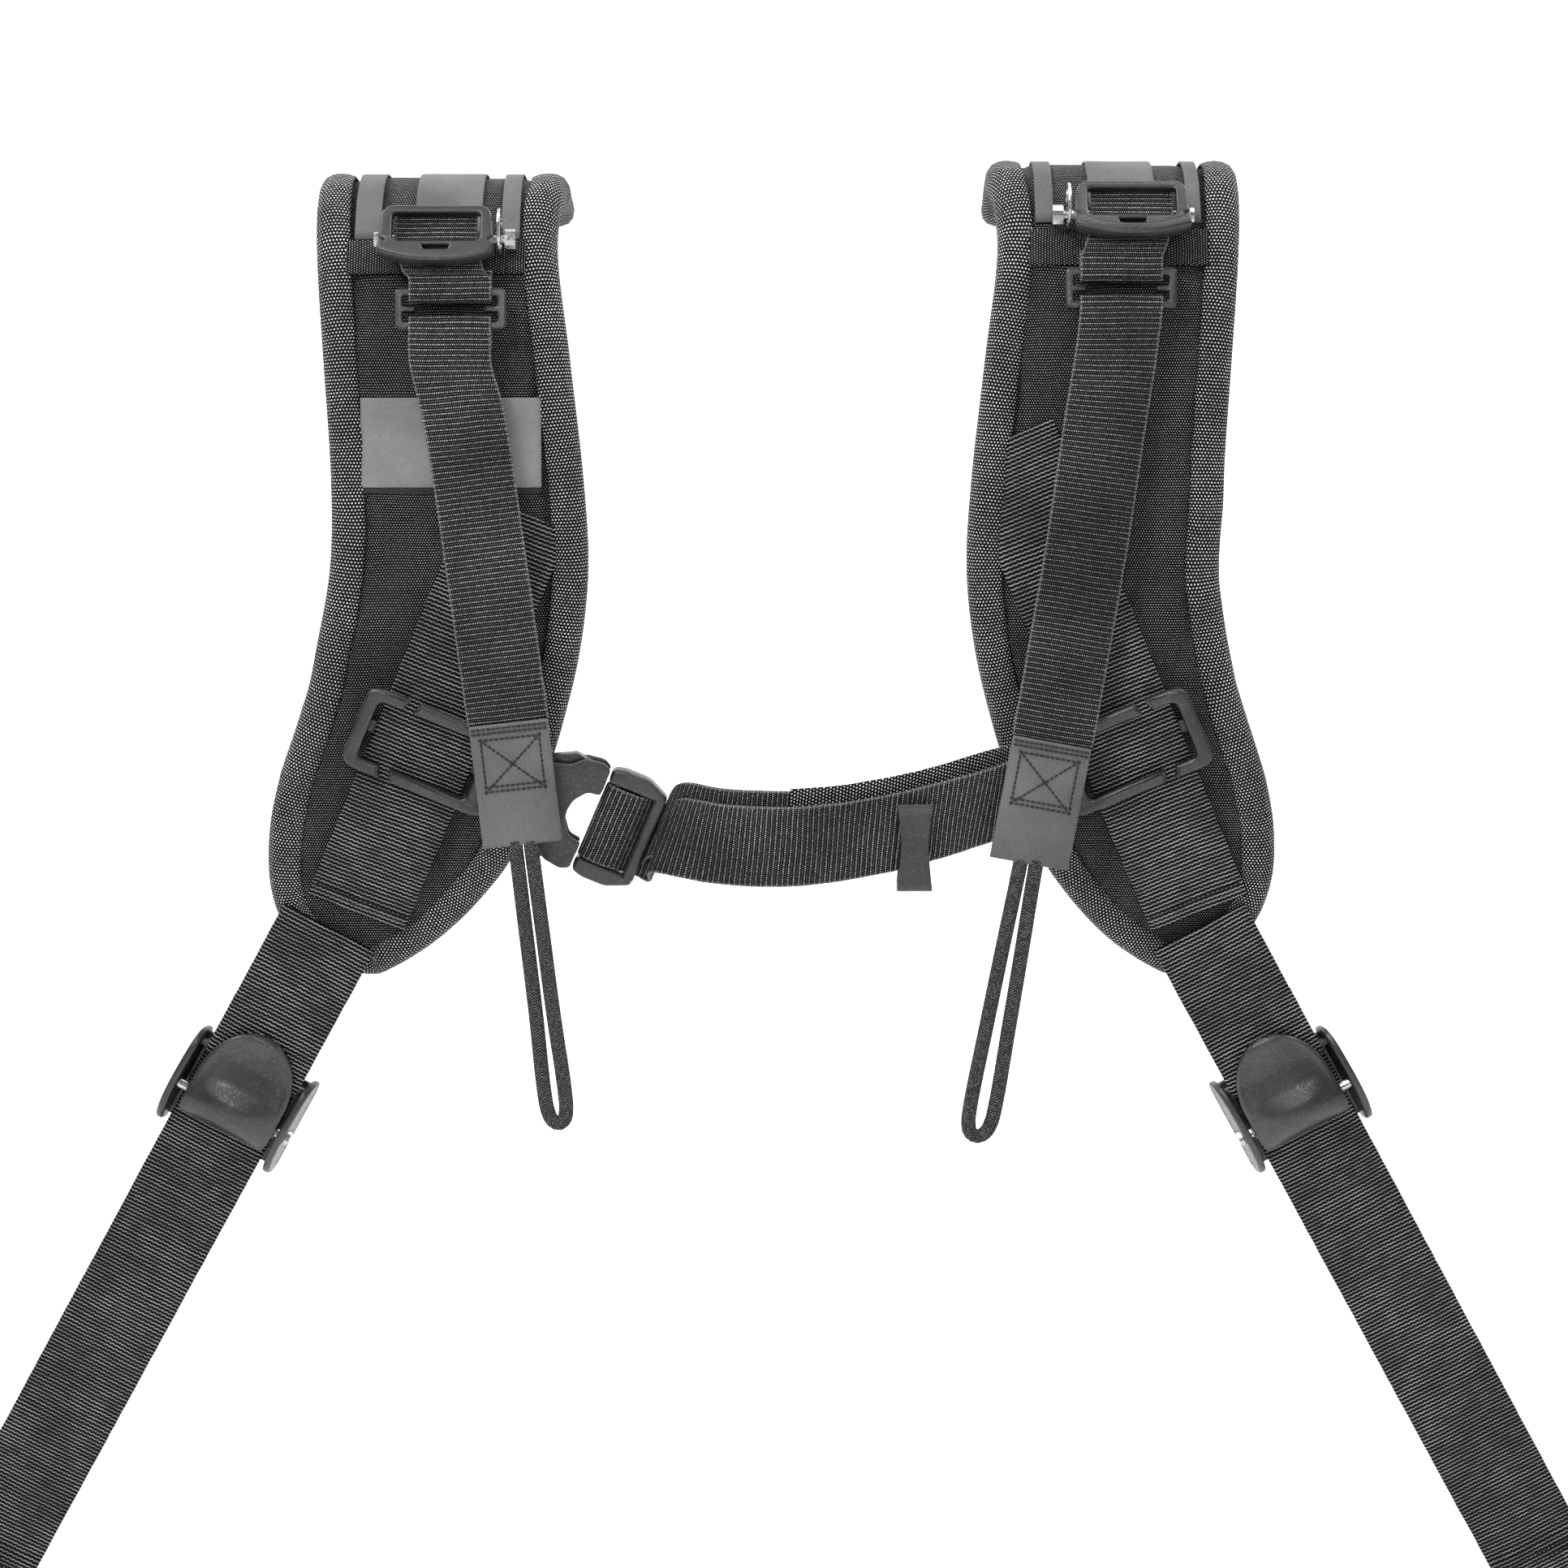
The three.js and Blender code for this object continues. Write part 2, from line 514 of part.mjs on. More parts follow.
// ---- cam buckle: local x across the strap, y down it, z out from it ----
function camParts() {
  const cheek = [
    [-17, -2.7], [15.5, -2.7], [17, -1], [16.5, 3], [10.5, 7.4], [3, 9], [-6, 8.4], [-14, 6.8], [-17, 4.6],
  ];
  const body = joined([
    sideways(cheek, -19, -16.5), sideways(cheek, 16.5, 19), box(-17, 17, -4, 15, -2.7, -1.2),
    rod(1.3, -17, 17, -13.5, 3.8),
  ]);
  const frame = cut(body, [rod(HOLE_R, -22, 22, 2, 5)]);
  const thumb = [
    [2, 1.1], [4.8, 2.2], [6, 5], [8.5, 8], [8.2, 10.4], [3, 12.2], [-5, 13], [-15, 12], [-26, 8.8],
    [-25.7, 7.6], [-3.5, 7.6], [-1.9, 5], [-0.9, 2.3],
  ];
  const arc = spread(0, 180, 12).map((a) => {
    const angle = THREE.MathUtils.degToRad(a);
    return [15.4 * Math.cos(angle), -5 - 21.2 * Math.sin(angle)];
  });
  const pad = solid(sideways(thumb, -15.4, 15.4)).intersect(solid(plate([[-15.4, 9], [15.4, 9], ...arc], 0, 15)));
  const lever = cut(pad, [
    rod(HOLE_R, -22, 22, 2, 5), box(13.2, 17, -28, 12, -1, 7.55), box(-17, -13.2, -28, 12, -1, 7.55),
  ]);
  const pin = joined([rod(PIN_R, -20, 20, 2, 5), rod(2.6, 19.4, 20.7, 2, 5), rod(2.6, -20.7, -19.4, 2, 5)]);
  const turns = spread(0, 2.5 * 360, 30).map((a) => {
    const angle = THREE.MathUtils.degToRad(a);
    return vec(13.9 + (2 * a) / 900, 2 + 2.1 * Math.cos(angle), 5 + 2.1 * Math.sin(angle));
  });
  return { frame: surface(frame), lever: surface(lever), pin: surface(pin), spring: cord(turns, 0.7, 32, 6) };
}

function lowerStrap(pad) {
  const { side } = pad;
  const [startX, endX] = side.strapX;
  const start = pad.at(pad.atHeight(STRAP_TOP_Z), startX, STRAP_HEIGHT);
  const end = vec(side.sign * endX, ...STRAP_END);
  const run = start.distanceTo(end);
  const down = end.clone().sub(start).normalize();
  const across = down.clone().cross(vec(0, -side.sign, 0)).normalize();
  const face = down.clone().cross(across).multiplyScalar(side.sign);
  if (face.y > 0) {
    face.negate();
  }
  const centre = along(start, down, BUCKLE_RUN, face, -LOOP_STEP);
  const local = (l, h) => along(centre, down, l, face, h);
  for (const [part, geometry] of Object.entries(camParts())) {
    const look = { frame: 'plastic', lever: 'plastic', pin: 'steel', spring: 'spring' }[part];
    add(`${side.name}_cam_${part}`, placed(geometry, centre, across, down, face), look);
  }
  const turn = spread(90, -90, 6).map((a) => {
    const angle = THREE.MathUtils.degToRad(a);
    return local(-13.5 + 2.2 * Math.cos(angle), 3.8 + 2.2 * Math.sin(angle));
  });
  const upper = [local(-BUCKLE_RUN + 0.8, LOOP_STEP), local(-40, LOOP_STEP), ...turn, local(-20, 1.6), local(-34, 1.6)];
  const upperFace = upper.map((p, i) => {
    const step = upper[Math.min(i + 1, upper.length - 1)].clone().sub(upper[Math.max(i - 1, 0)]);
    return across.clone().cross(step).normalize().multiplyScalar(Math.sign(across.clone().cross(down).dot(face)));
  });
  add(`${side.name}_upper_strap`, ribbon(upper, upperFace, STRAP_WEB), 'strap');
  const far = run - BUCKLE_RUN;
  const stops = [[-33, WEB_THICK], [far - 24, WEB_THICK], [far - 23, 3.6], [far, 3.6]];
  add(
    `${side.name}_lower_strap`,
    ribbon(stops.map(([l]) => local(l, 0)), face, STRAP_WEB, stops.map(([, thick]) => thick)), 'strap',
  );
}

// ---- build both sides ----
const pads = SIDES.map(shoulder);
for (const pad of pads) {
  const { name } = pad.side;
  add(`${name}_pad`, padBody(pad), 'shell');
  add(`${name}_pad_binding`, padBand(pad), 'band');
  const [from, to] = pad.side.outerTape;
  const [bandTop, bandLow] = pad.side.bandZ;
  const tapeStop = pad.atHeight(bandTop + 0.7);
  add(`${name}_side_tape_outer`, tapeAlong(pad, (from + to) / 2, to - from, 0.03, tapeStop, 5.4, TAPE_THICK), 'tape');
  add(`${name}_side_tape_inner`, tapeAlong(pad, 82, 5, 0.03, tapeStop, 5.4, TAPE_THICK), 'tape');
  add(`${name}_cross_band`, patch(pad, 79.8, 128.4, bandTop, bandLow, 5.4, TAPE_THICK), 'band');
  add(`${name}_anchor_webbing`, anchorWebbing(pad), 'web');
  lifter(pad);
  lowerStrap(pad);
}
add('left_label_patch', patch(pads[0], 74.6, 124.6, -52, -79, 5.2, 0.6), 'tape');

const [leftAt, rightAt] = pads.map(sliderFrame);
const put = (parts, f) => placed(surface(joined(parts)), f.at, f.inward, f.down, f.face);
add('left_sternum_slider', put([...sternumSlider(), ...buckleSocket()], leftAt), 'plastic');
add('right_sternum_slider', put(sternumSlider(), rightAt), 'plastic');
add('buckle_tongue', put(buckleTongue(), leftAt), 'plastic');
add('buckle_arm_upper', put([squeezeArm(-1)], leftAt), 'plastic');
add('buckle_arm_lower', put([squeezeArm(1)], leftAt), 'plastic');

// ---- sternum webbing: a front layer and a rear layer, each in two lengths ----
const onLeft = (x, y, h) => along(leftAt.at, leftAt.inward, x, leftAt.down, y, leftAt.face, h);
const onRight = (x, y, h) => along(rightAt.at, rightAt.inward, x, rightAt.down, y, rightAt.face, h);
const half = STERNUM_WEB / 2;

// Edge points of the bowed strap: x and z of its top edge, x and z of its bottom edge, and y.
const BOW = [
  [-30, -173, -39, -196.5, -88], [-16, -173.5, -20, -198.4, -94], [4, -173.5, 2, -198.6, -97.5],
  [22, -172, 20, -197, -96.5], [38, -169.5, 35.5, -194.5, -94.5], [54, -166, 51, -191, -91], [68, -162.5, 64, -187.5, -87.5],
];

function bowed(from, to, back, rise) {
  return BOW.slice(from, to).map(([x0, z0, x1, z1, y]) => ({
    left: vec(x0, y + back, z0 + rise), right: vec(x1, y + back, z1 + rise), normal: vec(0, -1, 0), thick: WEB_THICK,
  }));
}

function endOn(place, x, h) {
  const f = place === onLeft ? leftAt : rightAt;
  return { left: place(x, -half, h), right: place(x, half, h), normal: f.face, thick: WEB_THICK };
}

const cutAt = (a, b, share) => ({
  left: a.left.clone().lerp(b.left, share), right: a.right.clone().lerp(b.right, share), normal: a.normal, thick: WEB_THICK,
});
const front = bowed(0, 7, 0, 0);
const rear = bowed(0, 7, 4, 4);
add('sternum_webbing_front', slab([endOn(onLeft, 62, 13.8), endOn(onLeft, 76, 13.8), ...front.slice(0, 5)]), 'web');
add('sternum_webbing_front_end', slab([cutAt(front[4], front[5], 0.03), front[5], front[6], endOn(onRight, 25.2, 11.8)]), 'web');
add('sternum_webbing_rear', slab([endOn(onLeft, 76.4, 6.2), ...rear.slice(0, 3)]), 'web');
add('sternum_elastic', slab([cutAt(rear[2], rear[3], 0.04), ...rear.slice(3, 7), endOn(onRight, 24.8, 8.4)]), 'band');

const keeperX = 42;
const keeperY = -93.8;
const hook = [
  [-5, -173.4], [-3, -176], [-3, -200], [1.5, -201.4], [7.2, -200], [9.8, -186], [8.9, -185.6],
  [6.4, -199.2], [1.5, -200.2], [-2, -199.2], [-2, -175.6], [-4.2, -172.7],
].map(([y, z]) => [y + keeperY, z]);
add('keeper_clip', placed(plate(hook, -5, 5), vec(keeperX, 0, 0), vec(0, 1, 0), vec(0, 0, 1), vec(1, 0, 0)), 'plastic');

export default group;
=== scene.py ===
"""Looks for a binocular chest harness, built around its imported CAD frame.

Lengths in the tables are millimetres.
"""

import math

import bmesh
import bpy
import numpy as np
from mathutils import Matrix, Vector, noise


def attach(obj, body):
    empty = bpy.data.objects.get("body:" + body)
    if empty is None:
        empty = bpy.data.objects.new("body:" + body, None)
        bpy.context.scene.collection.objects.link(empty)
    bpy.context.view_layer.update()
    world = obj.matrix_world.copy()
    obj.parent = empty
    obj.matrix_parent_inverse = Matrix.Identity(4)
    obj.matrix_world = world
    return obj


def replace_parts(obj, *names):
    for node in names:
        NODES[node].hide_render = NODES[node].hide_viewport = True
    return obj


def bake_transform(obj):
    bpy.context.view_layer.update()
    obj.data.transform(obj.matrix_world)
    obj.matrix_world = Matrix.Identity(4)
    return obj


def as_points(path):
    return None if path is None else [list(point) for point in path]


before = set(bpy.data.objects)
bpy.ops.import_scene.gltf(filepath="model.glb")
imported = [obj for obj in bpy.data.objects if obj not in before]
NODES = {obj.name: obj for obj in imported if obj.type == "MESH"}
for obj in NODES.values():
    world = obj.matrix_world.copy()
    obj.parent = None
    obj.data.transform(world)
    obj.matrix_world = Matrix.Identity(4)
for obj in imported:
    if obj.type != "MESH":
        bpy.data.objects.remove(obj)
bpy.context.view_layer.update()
MM = 0.001

# ---------------------------------------------------------------- the harness's own measures
# PAD_PATH: (y, z, share of the side's lift) down the pad's middle line, from its rear end.
# PAD_EDGES: (height, inner x, outer x) of its outline.
PAD_PATH = [
    (0, 0, 0), (-6, 1, 0.1), (-13, 4.6, 0.5), (-22, 8.2, 0.9), (-33, 9.5, 1), (-44, 6.5, 1), (-53, -1.5, 0.9),
    (-60, -14, 0.7), (-64.5, -30, 0.5), (-68.5, -55, 0.2), (-71.5, -90, 0), (-73, -125, 0), (-72, -160, 0),
    (-69, -190, 0), (-65, -215, 0), (-61.5, -234.5, 0),
]
PAD_EDGES = [
    (12, 65, 142), (-5, 67.5, 141), (-41, 63.5, 138.5), (-78, 59.5, 136.5), (-104, 58.3, 137.3),
    (-129, 61, 142), (-152, 66.5, 147), (-168, 71.5, 151), (-184, 77.5, 154.3), (-199, 84.5, 155),
    (-207, 90, 153.8), (-215, 96.5, 151), (-223, 104.5, 146), (-230, 114, 138.5), (-234.5, 122, 130),
]
SIDES = [
    dict(
        name="left", sign=-1, lift=-2, lock_x=103.3, pin_z=-9, tab_x=100.5, glide_x=99, glide_z=-27,
        outer_tape=(121, 129), band_z=(-7.5, -16.5), webbing_top=-78, strap_x=(139.8, 267.6),
        swell=[(-140, 0, 0), (-168, 0, 3), (-199, 0.5, 4), (-215, 1.7, 5.5), (-223, 2.5, 5), (-234.5, 3, 3)],
        strand=(2.4, 2.45, 2.55, 2.7, 3.2),
        tail=[(98.8, -40), (94.9, -56), (88.9, -98), (82.2, -148.5)], tab_end=(78, -186), loop_end=(68, -275),
    ),
    dict(
        name="right", sign=1, lift=2, lock_x=107.4, pin_z=-2.3, tab_x=105.3, glide_x=104, glide_z=-21,
        outer_tape=(124.9, 129.3), band_z=(-4, -13.8), webbing_top=-102, strap_x=(131.5, 258.2),
        swell=[(-85, 0, 0), (-107, 0, -2.2), (-125, 0, -3), (-140, 0, -2.8), (-155, 0, -1.2), (-170, 0, 0)],
        strand=(2.4, 2.6, 3.0, 3.5, 3.9),
        tail=[(102.5, -36), (99.5, -56), (93.5, -98), (84, -154.5)], tab_end=(77, -192), loop_end=(62, -279),
    ),
]
BAND = 10.5  # the binding's width on the pad's face
TAPE_HEIGHT = 5.4
PIN_HEIGHT = 9.6
LOCK_LEAN = math.radians(7)
LOCK_TO_PIN = 4.6
TILT = math.radians(23)
SLIDER_X, SLIDER_Z = 109, -158
STRAP_TOP_Z, STRAP_END, STRAP_HEIGHT, STRAP_WEB = -215.5, (-60, -450), 8, 32
BUCKLE_RUN = 67.6  # from the strap's top to the cam buckle's middle
# BOW: (upper x, upper z, lower x, lower z, y) along the webbing between the sternum sliders.
BOW = [
    (-30, -173, -39, -196.5, -88), (-16, -173.5, -20, -198.4, -94), (4, -173.5, 2, -198.6, -97.5),
    (22, -172, 20, -197, -96.5), (38, -169.5, 35.5, -194.5, -94.5), (54, -166, 51, -191, -91),
    (68, -162.5, 64, -187.5, -87.5),
]
KEEPER_AT = (42, -93.8)
KEEPER_HOOK = [
    (-5, -173.4), (-3, -176), (-3, -200), (1.5, -201.4), (7.2, -200), (9.8, -186), (8.9, -185.6),
    (6.4, -199.2), (1.5, -200.2), (-2, -199.2), (-2, -175.6), (-4.2, -172.7),
]


# ---------------------------------------------------------------- small geometry tools
def vec(*v):
    return np.array(v, float)


def unit(v):
    v = np.asarray(v, float)
    return v / np.maximum(np.linalg.norm(v, axis=-1, keepdims=True), 1e-9)


def smooth_curve(points, per=24):
    """A centripetal Catmull-Rom curve through points of any dimension."""
    p = np.array(points, float)
    p = np.vstack([2 * p[0] - p[1], p, 2 * p[-1] - p[-2]])
    out = []
    for i in range(1, len(p) - 2):
        a, b, c, d = p[i - 1 : i + 3]
        ab, bc, cd = (max(np.linalg.norm(y - x) ** 0.5, 1e-6) for x, y in ((a, b), (b, c), (c, d)))
        m0 = ((b - a) / ab - (c - a) / (ab + bc) + (c - b) / bc) * bc
        m1 = ((c - b) / bc - (d - b) / (bc + cd) + (d - c) / cd) * bc
        t = np.linspace(0, 1, per, endpoint=False)[:, None]
        out.append(b + m0 * t + (-3 * b + 3 * c - 2 * m0 - m1) * t**2 + (2 * b - 2 * c + m0 + m1) * t**3)
    return np.vstack(out + [p[-2][None]])


def run_of(points):
    return np.concatenate([[0], np.cumsum(np.linalg.norm(np.diff(points, axis=0), axis=1))])


def resample(points, step, *others):
    """Points spaced evenly along a line, with any other rows carried along."""
    run = run_of(points)
    at = np.linspace(0, run[-1], max(3, int(round(run[-1] / step)) + 1))
    carry = lambda row: np.column_stack([np.interp(at, run, col) for col in np.asarray(row, float).T])
    rows = [carry(row) for row in (points, *others)]
    return rows if others else rows[0]


def wobble(points, scale, seed=0.0):
    """Smooth noise from -1 to 1 at points in millimetres; scale is its feature size."""
    shift = Vector((seed, seed * 1.7, 3.1))
    return np.array([noise.noise(Vector(p) / scale + shift) for p in np.asarray(points)])


class Shoulder:
    """A pad's own surface: s runs down its middle line from the rear end, x across and h out of it."""

    def __init__(self, side):
        self.side, self.sign, self.name = side, side["sign"], side["name"]
        self.path = smooth_curve([(y, z + share * side["lift"]) for y, z, share in PAD_PATH], 40)
        self.s = run_of(self.path)
        self.t = unit(np.gradient(self.path, self.s, axis=0))
        self.length = self.s[-1]
        self.crest = self.s[int(self.path[:, 1].argmax())]
        rows = smooth_curve(PAD_EDGES, 10)[::-1]
        swell = np.array(side["swell"][::-1], float)
        moved = [rows[:, k] + np.interp(rows[:, 0], swell[:, 0], swell[:, k]) for k in (1, 2)]
        self.rows = np.column_stack([rows[:, 0], *moved])

    def frame(self, s):
        s = np.asarray(s, float)
        p = np.stack([np.interp(s, self.s, self.path[:, k]) for k in (0, 1)], -1)
        t = unit(np.stack([np.interp(s, self.s, self.t[:, k]) for k in (0, 1)], -1))
        zero = np.zeros_like(s)
        return p, np.stack([zero, t[..., 0], t[..., 1]], -1), np.stack([zero, t[..., 1], -t[..., 0]], -1)

    def at(self, s, x, h):
        p, _, n = self.frame(s)
        y, z = p[..., 0], p[..., 1]
        return np.stack([self.sign * x + 0 * y, y + n[..., 1] * h, z + n[..., 2] * h], -1)

    def s_at(self, z):
        keep = self.s >= self.crest
        return float(np.interp(-z, -self.path[keep, 1], self.s[keep]))

    def edges(self, s):
        p, _, _ = self.frame(s)
        z = np.where(np.asarray(s) < self.crest, 12, p[..., 1])
        return np.interp(z, self.rows[:, 0], self.rows[:, 1]), np.interp(z, self.rows[:, 0], self.rows[:, 2])

    def locate(self, points):
        """(s, x, h) of points in millimetres."""
        points = np.asarray(points)
        near = np.empty(len(points), int)
        for i in range(0, len(points), 4000):
            d = points[i : i + 4000, None, 1:] - self.path[None]
            near[i : i + 4000] = (d**2).sum(-1).argmin(1)
        off = points[:, 1:] - self.path[near]
        n = np.stack([self.t[near, 1], -self.t[near, 0]], -1)
        return self.s[near] + (off * self.t[near]).sum(1), points[:, 0] * self.sign, (off * n).sum(1)


def shade_smooth(mesh):
    mesh.polygons.foreach_set("use_smooth", [True] * len(mesh.polygons))


def new_object(name, vertices, faces, cloth=None):
    """A mesh object from millimetres; cloth is each vertex's place in the weave, in millimetres."""
    mesh = bpy.data.meshes.new(name)
    mesh.from_pydata([tuple(v) for v in np.asarray(vertices) * MM], [], [tuple(map(int, f)) for f in faces])
    if cloth is not None:
        layer = mesh.attributes.new("cloth", "FLOAT_VECTOR", "POINT")
        data = np.zeros((len(vertices), 3))
        data[:, : np.shape(cloth)[1]] = cloth
        layer.data.foreach_set("vector", data.ravel())
    mesh.validate()
    mesh.update()
    shade_smooth(mesh)
    obj = bpy.data.objects.new(name, mesh)
    bpy.context.scene.collection.objects.link(obj)
    fix_normals(obj)
    return obj


def fix_normals(obj):
    bm = bmesh.new()
    bm.from_mesh(obj.data)
    bmesh.ops.recalc_face_normals(bm, faces=bm.faces)
    bm.to_mesh(obj.data)
    bm.free()


def ring_faces(count, around):
    faces = []
    for i in range(count - 1):
        for j in range(around):
            a, b = i * around + j, i * around + (j + 1) % around
            faces.append((a, b, b + around, a + around))
    return faces


def loft(name, rings, cloth=None):
    """A closed body through rings of points [station, point, xyz], its ends capped."""
    rings = np.asarray(rings, float)
    count, around = rings.shape[:2]
    vertices = list(rings.reshape(-1, 3)) + [rings[0].mean(0), rings[-1].mean(0)]
    faces = ring_faces(count, around)
    for end, centre in ((0, count * around), ((count - 1) * around, count * around + 1)):
        faces += [(end + j, end + (j + 1) % around, centre) for j in range(around)]
    if cloth is not None:
        cloth = np.asarray(cloth, float)
        cloth = np.vstack([cloth.reshape(-1, cloth.shape[-1]), cloth[0].mean(0), cloth[-1].mean(0)])
    return new_object(name, vertices, faces, cloth)


# webbing's section, as shares of its half width and half thickness
WEB_RING = [(-1, 0), (-0.985, 0.72), (-0.93, 1), (-0.5, 1), (0, 1), (0.5, 1), (0.93, 1), (0.985, 0.72)]
WEB_RING = WEB_RING + [(-a, -b) for a, b in WEB_RING]


def slab(name, left, right, normal, thick, ripple=0.12, seed=0.0, start=0.0):
    """Webbing between two edge lines, with rounded selvedges and a slight ripple."""
    left, right, normal = (np.asarray(v, float) for v in (left, right, normal))
    thick = np.broadcast_to(np.asarray(thick, float), len(left))
    middle, half = (left + right) / 2, (right - left) / 2
    run = run_of(middle) + start
    width = np.linalg.norm(half, axis=1)
    rings, cloth = [], []
    for a, b in WEB_RING:
        point = middle + half * a + normal * (thick / 2 * b)[:, None]
        if ripple:
            point = point + normal * (wobble(middle + half * a, 14, seed) * ripple)[:, None]
            if abs(a) > 0.9:
                point = point + unit(half) * (wobble(point, 5, seed + 4) * ripple * 0.8)[:, None]
        rings.append(point)
        cloth.append(np.column_stack([a * width, run, np.full(len(run), b)]))
    return loft(name, np.stack(rings, 1), np.stack(cloth, 1))


def ribbon(name, points, facing, width, thick=1.2, step=2.0, level=None, **more):
    """Webbing of even width on a smooth line through points; facing says which way its face looks.

    With level=(a, b) its width stays along X for the first a mm and is square to the line from b on.
    """
    facing = np.broadcast_to(np.asarray(facing, float), (len(points), 3))
    both = smooth_curve(np.hstack([points, facing * 5]), 12)
    thick = np.asarray(thick, float)
    rows = [both[:, :3], both[:, 3:]]
    if thick.ndim:
        rows.append(np.interp(np.linspace(0, len(points) - 1, len(both)), range(len(points)), thick)[:, None])
    out = resample(rows[0], step, *rows[1:])
    p, f = out[0], out[1]
    t = unit(np.gradient(p, axis=0))
    across = unit(np.cross(t, f))
    if level:
        square = np.clip((run_of(p) - level[0]) / (level[1] - level[0]), 0, 1)[:, None]
        across = unit(across * square + (1 - square) * np.sign(across[:, :1]) * vec(1, 0, 0))
    normal = unit(np.cross(across, t))
    deep = out[2][:, 0] if thick.ndim else thick
    return slab(name, p - across * width / 2, p + across * width / 2, normal, deep, **more)


def stitches(name, lines, pitch, length, radius):
    """Thread stitches as small capsules along lines of (points, normals)."""
    vertices, faces = [], []
    seg, rows = 6, 4
    for points, normals in lines:
        points, normals = np.asarray(points, float), np.asarray(normals, float)
        p, n = resample(points, pitch, normals)
        t = unit(np.gradient(p, axis=0))
        side = unit(np.cross(n, t))
        up = unit(np.cross(t, side))
        for q, along, across, out in zip(p, t, side, up):
            base = len(vertices)
            for i in range(rows + 1):
                angle = math.pi * i / rows
                for j in range(seg):
                    turn = 2 * math.pi * j / seg
                    r = math.sin(angle) ** 0.6 * radius if 0 < i < rows else radius * 0.12
                    offset = across * math.cos(turn) * r + out * math.sin(turn) * r
                    vertices.append(q - along * math.cos(angle) * length / 2 + offset)
            faces += [tuple(base + k for k in f) for f in ring_faces(rows + 1, seg)]
            faces.append(tuple(base + j for j in range(seg))[::-1])
            faces.append(tuple(base + rows * seg + j for j in range(seg)))
    return new_object(name, vertices, faces, np.asarray(vertices)[:, :2])


def fillet(points, radius, steps=4):
    """An outline with its corners rounded; radius may be one value or one for each corner."""
    points = [vec(*p) for p in points]
    radius = np.broadcast_to(np.asarray(radius, float), (len(points),))
    out = []
    for i, p in enumerate(points):
        a, b = points[i - 1] - p, points[(i + 1) % len(points)] - p
        reach = min(radius[i], 0.45 * np.linalg.norm(a), 0.45 * np.linalg.norm(b))
        start, stop = p + unit(a) * reach, p + unit(b) * reach
        if reach < 0.02:
            out.append(p)
            continue
        for k in np.linspace(0, 1, steps + 1):
            out.append((1 - k) ** 2 * start + 2 * k * (1 - k) * p + k**2 * stop)
    return np.array(out)


def rounded(x0, y0, x1, y1, radius):
    """A rectangle's outline with its corners rounded."""
    return fillet([(x0, y0), (x1, y0), (x1, y1), (x0, y1)], radius)


def turning(points):
    """Twice the signed area of an outline."""
    x, y = np.asarray(points).T
    return float((x * np.roll(y, -1) - np.roll(x, -1) * y).sum())


def plate(name, outlines, low, high, place, bevel=0.5):
    """A flat plate with rounded edges, from an outline and its holes; place maps (x, y, z) to the frame."""
    curve = bpy.data.curves.new(name + "_outline", "CURVE")
    curve.dimensions, curve.fill_mode = "2D", "BOTH"
    curve.extrude, curve.bevel_depth, curve.bevel_resolution = (high - low) / 2 - bevel, bevel, 2
    curve.offset = -bevel
    for i, outline in enumerate(outlines):
        outline = np.asarray(outline)
        if (turning(outline) > 0) != (i == 0):
            outline = outline[::-1]
        spline = curve.splines.new("POLY")
        spline.points.add(len(outline) - 1)
        for point, (x, y) in zip(spline.points, outline):
            point.co = (x, y, 0, 1)
        spline.use_cyclic_u = True
    shape = bpy.data.objects.new(name + "_outline", curve)
    bpy.context.scene.collection.objects.link(shape)
    bpy.context.view_layer.update()
    mesh = bpy.data.meshes.new_from_object(shape.evaluated_get(bpy.context.evaluated_depsgraph_get()))
    bpy.data.objects.remove(shape)
    bpy.data.curves.remove(curve)
    mesh.name = name
    obj = bpy.data.objects.new(name, mesh)
    bpy.context.scene.collection.objects.link(obj)
    weld(obj, 0.001)
    flat = positions(obj)
    put(obj, np.array([place(x, y, z + (low + high) / 2) for x, y, z in flat]) * MM)
    fix_normals(obj)
    shade_smooth(mesh)
    sharp = obj.modifiers.new("shading", "WEIGHTED_NORMAL")
    sharp.keep_sharp = True
    return obj


def weld(obj, distance):
    bm = bmesh.new()
    bm.from_mesh(obj.data)
    bmesh.ops.remove_doubles(bm, verts=bm.verts, dist=distance)
    bm.to_mesh(obj.data)
    bm.free()


def bar(name, start, stop, radius, seg=20, ends=0.5):
    """A round bar between two points, with softened ends."""
    start, stop = np.asarray(start, float), np.asarray(stop, float)
    axis = unit(stop - start)
    side = unit(np.cross(axis, vec(0.3, 0.2, 1)))
    other = np.cross(axis, side)
    length = np.linalg.norm(stop - start)
    steps = [(0, radius - ends), (ends * 0.3, radius - ends * 0.3), (ends, radius)]
    steps += [(length - a, r) for a, r in reversed(steps)]
    turn = np.linspace(0, 2 * math.pi, seg, endpoint=False)
    circle = side * np.cos(turn)[:, None] + other * np.sin(turn)[:, None]
    return loft(name, np.array([start + axis * a + r * circle for a, r in steps]))


def fitting(obj, body, look="plastic", node=None):
    """A finished piece: the body it rides, its look and the CAD node it stands for."""
    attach(dress(obj, look), body)
    if node:
        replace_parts(obj, node)
    return obj


